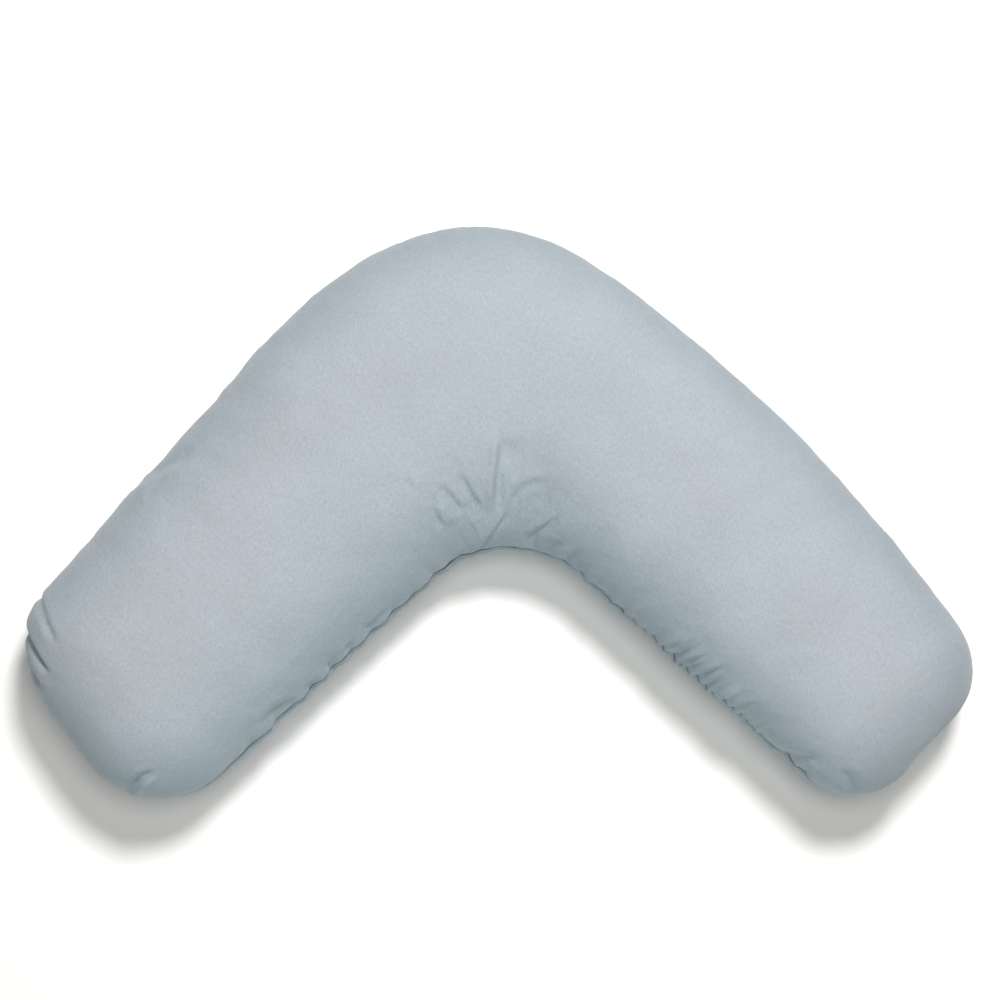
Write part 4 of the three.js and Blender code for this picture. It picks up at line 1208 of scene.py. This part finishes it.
class PILLOW_OT_stage(bpy.types.Operator):
    """Makes the floor, the soft lights and the camera straight above"""
    bl_idname = "pillow.stage"
    bl_label = "Stage"

    def execute(self, context):
        colours = settings()[3]
        scene = context.scene
        corners = FLOOR_HALF * np.array([(-1, -1, 0), (1, -1, 0), (1, 1, 0), (-1, 1, 0)])
        floor = make_object("floor", corners, [(0, 1, 2, 3)], smooth=False)
        floor.data.materials.append(floor_finish("pale_floor", tuple(colours.floor)))
        world = bpy.data.worlds.new("soft_room")
        world.use_nodes = True
        sky = world.node_tree.nodes["Background"]
        sky.inputs["Color"].default_value = (1.0, 1.0, 1.0, 1.0)
        sky.inputs["Strength"].default_value = 0.07
        scene.world = world
        low, high = (Vector(corner) for corner in CAD_BOX)
        middle = (low + high) / 2
        for name, towards, width, depth, power, tint in LIGHTS:
            light = bpy.data.lights.new(name, "AREA")
            light.shape = "ELLIPSE" if width == depth else "RECTANGLE"
            light.size = width
            light.size_y = depth
            light.energy = power
            light.color = tint
            lamp = bpy.data.objects.new(name, light)
            scene.collection.objects.link(lamp)
            heading = Vector(towards).normalized()
            lamp.location = middle + heading * LIGHT_DISTANCE
            lamp.rotation_euler = heading.to_track_quat("Z", "Y").to_euler()
        camera = bpy.data.cameras.new("camera")
        camera.lens = SENSOR * (CAMERA_HEIGHT - WIDEST_HEIGHT) / VIEW_WIDTH
        camera.sensor_width = SENSOR
        camera.clip_end = 50.0
        view = bpy.data.objects.new("camera", camera)
        scene.collection.objects.link(view)
        view.location = (middle.x + 0.0026, middle.y + 0.0114, CAMERA_HEIGHT)
        scene.camera = view
        scene.view_settings.view_transform = "Standard"
        return {"FINISHED"}


class PILLOW_OT_cover(bpy.types.Operator):
    """Makes the cover's top and bottom panels and the stitches of the seam that joins them"""
    bl_idname = "pillow.cover"
    bl_label = "Cover"

    def execute(self, context):
        sizes, softness, _, colours = settings()
        form = pillow()
        top, bottom = cover_skins()
        cotton = woven("washed_cotton", tuple(colours.cotton), seam_shade=1.0)
        for name, skin, node in (("cover_top", top, "cover_top_panel"),
                                 ("cover_bottom", bottom, "cover_bottom_panel")):
            lining = Skin(form, skin.top, open_slot=True)
            lining.points = skin.points - skin.normals * sizes.cover
            if not skin.top:
                lining.points[1:, :, 2] = np.maximum(lining.points[1:, :, 2], sizes.cover)
            panel = make_shell(name, skin, lining, 2)
            finish_piece(panel, cotton, "root", "cover_cotton", node)
        seam = (top.points[0] + bottom.points[0]) / 2
        out = unit((top.normals[0] + bottom.normals[0]) / 2)
        closed = form.slot < 0.5
        start = int(np.argmax(~closed & np.roll(closed, -1))) + 1
        order = np.roll(np.arange(len(closed)), -start)
        order = order[closed[order]]
        thread = thread_finish("cotton_thread", tuple(colours.cotton_thread))
        stitches = stitch_row("cover_seam_stitches", (seam + out * 0.0001)[order], out[order], thread)
        finish_piece(stitches, thread, "root", "sewing_thread", "cover_seam_thread")
        return {"FINISHED"}


# Room left round the casing and round the filling, at the sides and at the faces
CASING_ROOM, CASING_CLEARANCE, FILLING_ROOM, FILLING_CLEARANCE = 0.0062, 0.0005, 0.0014, 0.0007
# A full turn as the casing's gathers take it
CASING_TURN = 6.283


class PILLOW_OT_cushion(bpy.types.Operator):
    """Makes the inner cushion: its sewn casing and the fibre that fills it"""
    bl_idname = "pillow.cushion"
    bl_label = "Inner cushion"

    def execute(self, context):
        sizes, softness, _, colours = settings()
        form = pillow()
        side, face = sizes.cover + CASING_ROOM, sizes.cover + CASING_CLEARANCE
        casing_cloth = woven("casing_cotton", tuple(colours.casing), slub=0.5, contrast=0.04)
        rims = []
        for top, name, node in ((True, "casing_top", "inner_casing_top_panel"),
                                (False, "casing_bottom", "inner_casing_bottom_panel")):
            cover = cover_skins()[0 if top else 1]
            skin = Skin(form, top, side, face)
            lining = Skin(form, top, side + sizes.casing, face + sizes.casing)
            for layer in (skin, lining):
                gather = cloth_noise(form.ring(layer.depth.shape, CASING_TURN), 0.009, 21) - 1.0
                pressed = np.minimum(cover.moves, 0.0)
                moves = pressed + 0.0014 * gather * np.exp(-layer.depth / 0.014)
                if not top:
                    moves = moves * smoothstep(0.0, 0.020, layer.points[..., 2])
                layer.moved(moves)
            skin.points, skin.flat = skin.points[::2, ::2], skin.flat[::2, ::2]
            lining.points, lining.flat = lining.points[::2, ::2], lining.flat[::2, ::2]
            rims.append((skin.points[0], skin.normals[0][::2]))
            panel = half_shell(name, skin, lining, form.crown_of[::2] // 2)
            finish_piece(panel, casing_cloth, "root", "casing_cotton", node)
        seam = (rims[0][0] + rims[1][0]) / 2
        out = unit(rims[0][1] + rims[1][1])
        thread = thread_finish("white_thread", tuple(colours.casing))
        stitches = stitch_row("casing_seam_stitches", seam + out * 0.0004, out, thread, closed=True)
        finish_piece(stitches, thread, "root", "casing_thread", "inner_casing_seam_thread")
        fibre = self.filling(form, side + sizes.casing + FILLING_ROOM,
                             face + sizes.casing + FILLING_CLEARANCE)
        finish_piece(fibre, fibre_finish("polyester_fibre", tuple(colours.fibre)), "root",
                     "polyester_fibre", "fibre_filling")
        return {"FINISHED"}

    @staticmethod
    def filling(form, side, face):
        """Lumpy fibre that fills the casing from just inside it."""
        skins = []
        for top, cover in zip((True, False), cover_skins()):
            skin = Skin(form, top, side, face)
            lumps = cloth_noise(skin.points, 0.028, 31) + 0.5 * cloth_noise(skin.points, 0.012, 32) - 1.5
            moves = np.minimum(cover.moves, 0.0) + 0.0016 * lumps
            if not top:
                moves = moves * smoothstep(0.0, 0.020, skin.points[..., 2])
            skins.append(skin.moved(moves))
        piece, _ = closed_body("filling", skins, 2)
        merge_doubles(piece.data, 1e-6)
        return piece


def half_shell(name, skin, lining, crown):
    """A sheet of cloth between two skins with the same rows and columns."""
    rows, columns = skin.points.shape[:2]
    first = skin_vertices(skin.points, crown)
    start = len(first)
    faces = grid_faces(rows, columns, crown, 0, not skin.top)
    faces += grid_faces(rows, columns, crown, start, skin.top)
    for u in range(columns):
        after = (u + 1) % columns
        face = (u, start + u, start + after, after)
        faces.append(face if skin.top else face[::-1])
    vertices = np.concatenate([first, skin_vertices(lining.points, crown)])
    flat = np.concatenate([skin_vertices(skin.flat, crown), skin_vertices(lining.flat, crown)])
    piece = make_object(name, vertices, faces, flat)
    mark_cloth(piece, ((skin, 2), (lining, 2)), skin.form.crown_of)
    return piece


LABEL_SIZE, LABEL_GRID = (0.026, 0.038, 0.0004), (20, 14)


class PILLOW_OT_label(bpy.types.Operator):
    """Makes the blank care label that hangs from the cover's seam, inside"""
    bl_idname = "pillow.label"
    bl_label = "Care label"

    def execute(self, context):
        colours = settings()[3]
        node = frame["nodes"]["care_label"]
        places = vertex_array(node.data)
        low, high = places[:, 2].min(), places[:, 2].max()
        upper, lower = places[places[:, 2] > high - 0.002], places[places[:, 2] < low + 0.002]
        top_middle, end_middle = upper.mean(axis=0), lower.mean(axis=0)
        flat = upper[:, :2] - upper[:, :2].mean(axis=0)
        _, _, axes = np.linalg.svd(flat)
        across = np.array([*axes[0], 0.0])
        width, length, thickness = LABEL_SIZE
        panel = cover_skins()[1]
        beside = np.linalg.norm(panel.points - (top_middle + end_middle) / 2, axis=-1) < width
        pushed = float(np.percentile(panel.moves[beside], 10)) - 0.0004
        inwards = unit(panel.normals[beside].mean(axis=0)) * pushed
        top_middle, end_middle = top_middle + inwards, end_middle + inwards
        down = unit(end_middle - top_middle)
        out = unit(np.cross(down, across))
        rows, columns = LABEL_GRID
        v, u = np.meshgrid(np.linspace(0, 1, rows + 1), np.linspace(-0.5, 0.5, columns + 1), indexing="ij")
        wave = 0.00012 * np.sin(v * 9.0 + u * 4.0) * v
        centre = top_middle + down * (0.0002 + (length - 0.0004) * v[..., None])
        centre = centre + across * ((width - 0.0003) * u[..., None])
        hem = 0.00006 * (smoothstep(0.90, 0.93, v) - smoothstep(0.97, 1.0, v))
        faces, sides = [], []
        for sign in (1.0, -1.0):
            sides.append((centre + out * (wave + sign * (thickness / 2 + hem))[..., None]).reshape(-1, 3))
        per = (rows + 1) * (columns + 1)
        number = np.arange(per).reshape(rows + 1, columns + 1)
        for r in range(rows):
            for c in range(columns):
                quad = (number[r, c], number[r, c + 1], number[r + 1, c + 1], number[r + 1, c])
                faces.append(tuple(int(i) for i in quad))
                faces.append(tuple(int(i) + per for i in quad[::-1]))
        ring = [*number[0, :], *number[1:, -1], *number[-1, -2::-1], *number[-2:0:-1, 0]]
        for i, a in enumerate(ring):
            b = ring[(i + 1) % len(ring)]
            faces.append((int(a), int(a) + per, int(b) + per, int(b)))
        uv = np.tile(np.stack([u * width, v * length], axis=-1).reshape(-1, 2), (2, 1))
        label = make_object("label", np.concatenate(sides), faces, uv)
        bm = bmesh.new()
        bm.from_mesh(label.data)
        bmesh.ops.recalc_face_normals(bm, faces=bm.faces)
        bm.to_mesh(label.data)
        bm.free()
        satin = woven("label_satin", tuple(colours.label), pitch=0.0003, slub=0.4)
        finish_piece(label, satin, "root", "label_tape", "care_label")
        return {"FINISHED"}


# Length, width and height of a coil's tooth, half the coil's length, its offset from the middle
TOOTH, COIL_REACH, COIL_OFFSET = (0.00115, 0.0019, 0.0018), 0.1436, 0.00145
COIL_HALF, ZIP_POINTS = 0.0009, 400


class PILLOW_OT_zip(bpy.types.Operator):
    """Makes the zip's coil teeth, stitches, stops, slider and pull, and gives its woven tapes their twill
    finish
    """
    bl_idname = "pillow.zip"
    bl_label = "Zip"

    def execute(self, context):
        sizes, _, stitch, colours = settings()
        form = pillow()
        tape = tape_finish("twill_tape", tuple(colours.tape))
        nylon = nylon_finish("nylon_coil", tuple(colours.nylon))
        metal = metal_finish("brushed_metal", tuple(colours.metal))
        thread = bpy.data.materials["cotton_thread"]
        for side in ("upper", "lower"):
            ribbon = frame["nodes"]["zip_" + side + "_tape"]
            ribbon.data.materials.clear()
            ribbon.data.materials.append(tape)
        coil_bottom = -sizes.cover - 0.0007 + 0.0003
        for sign, side in ((1.0, "upper"), (-1.0, "lower")):
            start = -COIL_REACH if sign > 0 else -COIL_REACH + stitch.tooth_pitch / 2
            points, normals = form.zip_path(sign * COIL_OFFSET, coil_bottom + COIL_HALF, start, COIL_REACH,
                                            ZIP_POINTS)
            coil = make_row("coil_" + side, points, normals, stitch.tooth_pitch, TOOTH, nylon)
            finish_piece(coil, nylon, "root", "zip_nylon", "zip_" + side + "_coil")
            points, normals = self.on_panel(form, sign, SLOT_HALF_WIDTH + 0.0014 + 0.00025)
            row = stitch_row("zip_stitches_" + side, points, normals, thread)
            finish_piece(row, thread, "root", "sewing_thread", "zip_" + side + "_stitching")
        for name, node, body, rounding in (
                ("stop_upper", "zip_upper_top_stop", "root", 1.0),
                ("stop_lower", "zip_lower_top_stop", "root", 1.0),
                ("stop_bottom", "zip_bottom_stop", "root", 1.0),
                ("slider", "zip_slider_body", "zip_slider", 0.8),
                ("pull", "zip_pull_tab", "zip_pull", 1.2)):
            piece = rounded_copy(name, node, stitch.edge_round * rounding)
            finish_piece(piece, metal, body, "zip_metal", node)
        return {"FINISHED"}

    @staticmethod
    def on_panel(form, sign, inset):
        """A row just above the cover's cloth, beside the slot."""
        seam = form.form.outer_seam
        if sign > 0:
            up, out = form.wall_axes(seam, seam + 0.0125)
        else:
            up, out = form.wall_axes(seam - 0.0125, seam)
        corner = form.wall_point(seam) + up * sign * inset + out * 0.0003
        return form.bow_row(corner, out, -HALF_SLOT, HALF_SLOT, ZIP_POINTS)


class PILLOW_PT_panel(bpy.types.Panel):
    """The pillow's sizes, colours and makers"""
    bl_label = "Nursing Pillow"
    bl_space_type = "VIEW_3D"
    bl_region_type = "UI"
    bl_category = "Pillow"

    def draw(self, context):
        layout = self.layout
        for group in settings():
            box = layout.box()
            for name in group.__annotations__:
                box.prop(group, name)
        for operator in OPERATORS:
            layout.operator(operator.bl_idname)


GROUPS = {"pillow_form": PillowForm, "pillow_softness": PillowSoftness,
          "pillow_stitch": PillowStitch, "pillow_colours": PillowColours}
OPERATORS = (PILLOW_OT_stage, PILLOW_OT_cover, PILLOW_OT_cushion, PILLOW_OT_label, PILLOW_OT_zip)


def register():
    for kind in (*GROUPS.values(), *OPERATORS, PILLOW_PT_panel):
        bpy.utils.register_class(kind)
    for name, kind in GROUPS.items():
        setattr(bpy.types.Scene, name, bpy.props.PointerProperty(type=kind))


def unregister():
    for name in GROUPS:
        delattr(bpy.types.Scene, name)
    for kind in (PILLOW_PT_panel, *OPERATORS, *GROUPS.values()):
        bpy.utils.unregister_class(kind)


def main():
    register()
    bpy.ops.pillow.stage()
    bpy.ops.pillow.cover()
    bpy.ops.pillow.cushion()
    bpy.ops.pillow.label()
    bpy.ops.pillow.zip()
    bpy.context.view_layer.update()


if __name__ == "__main__":
    main()
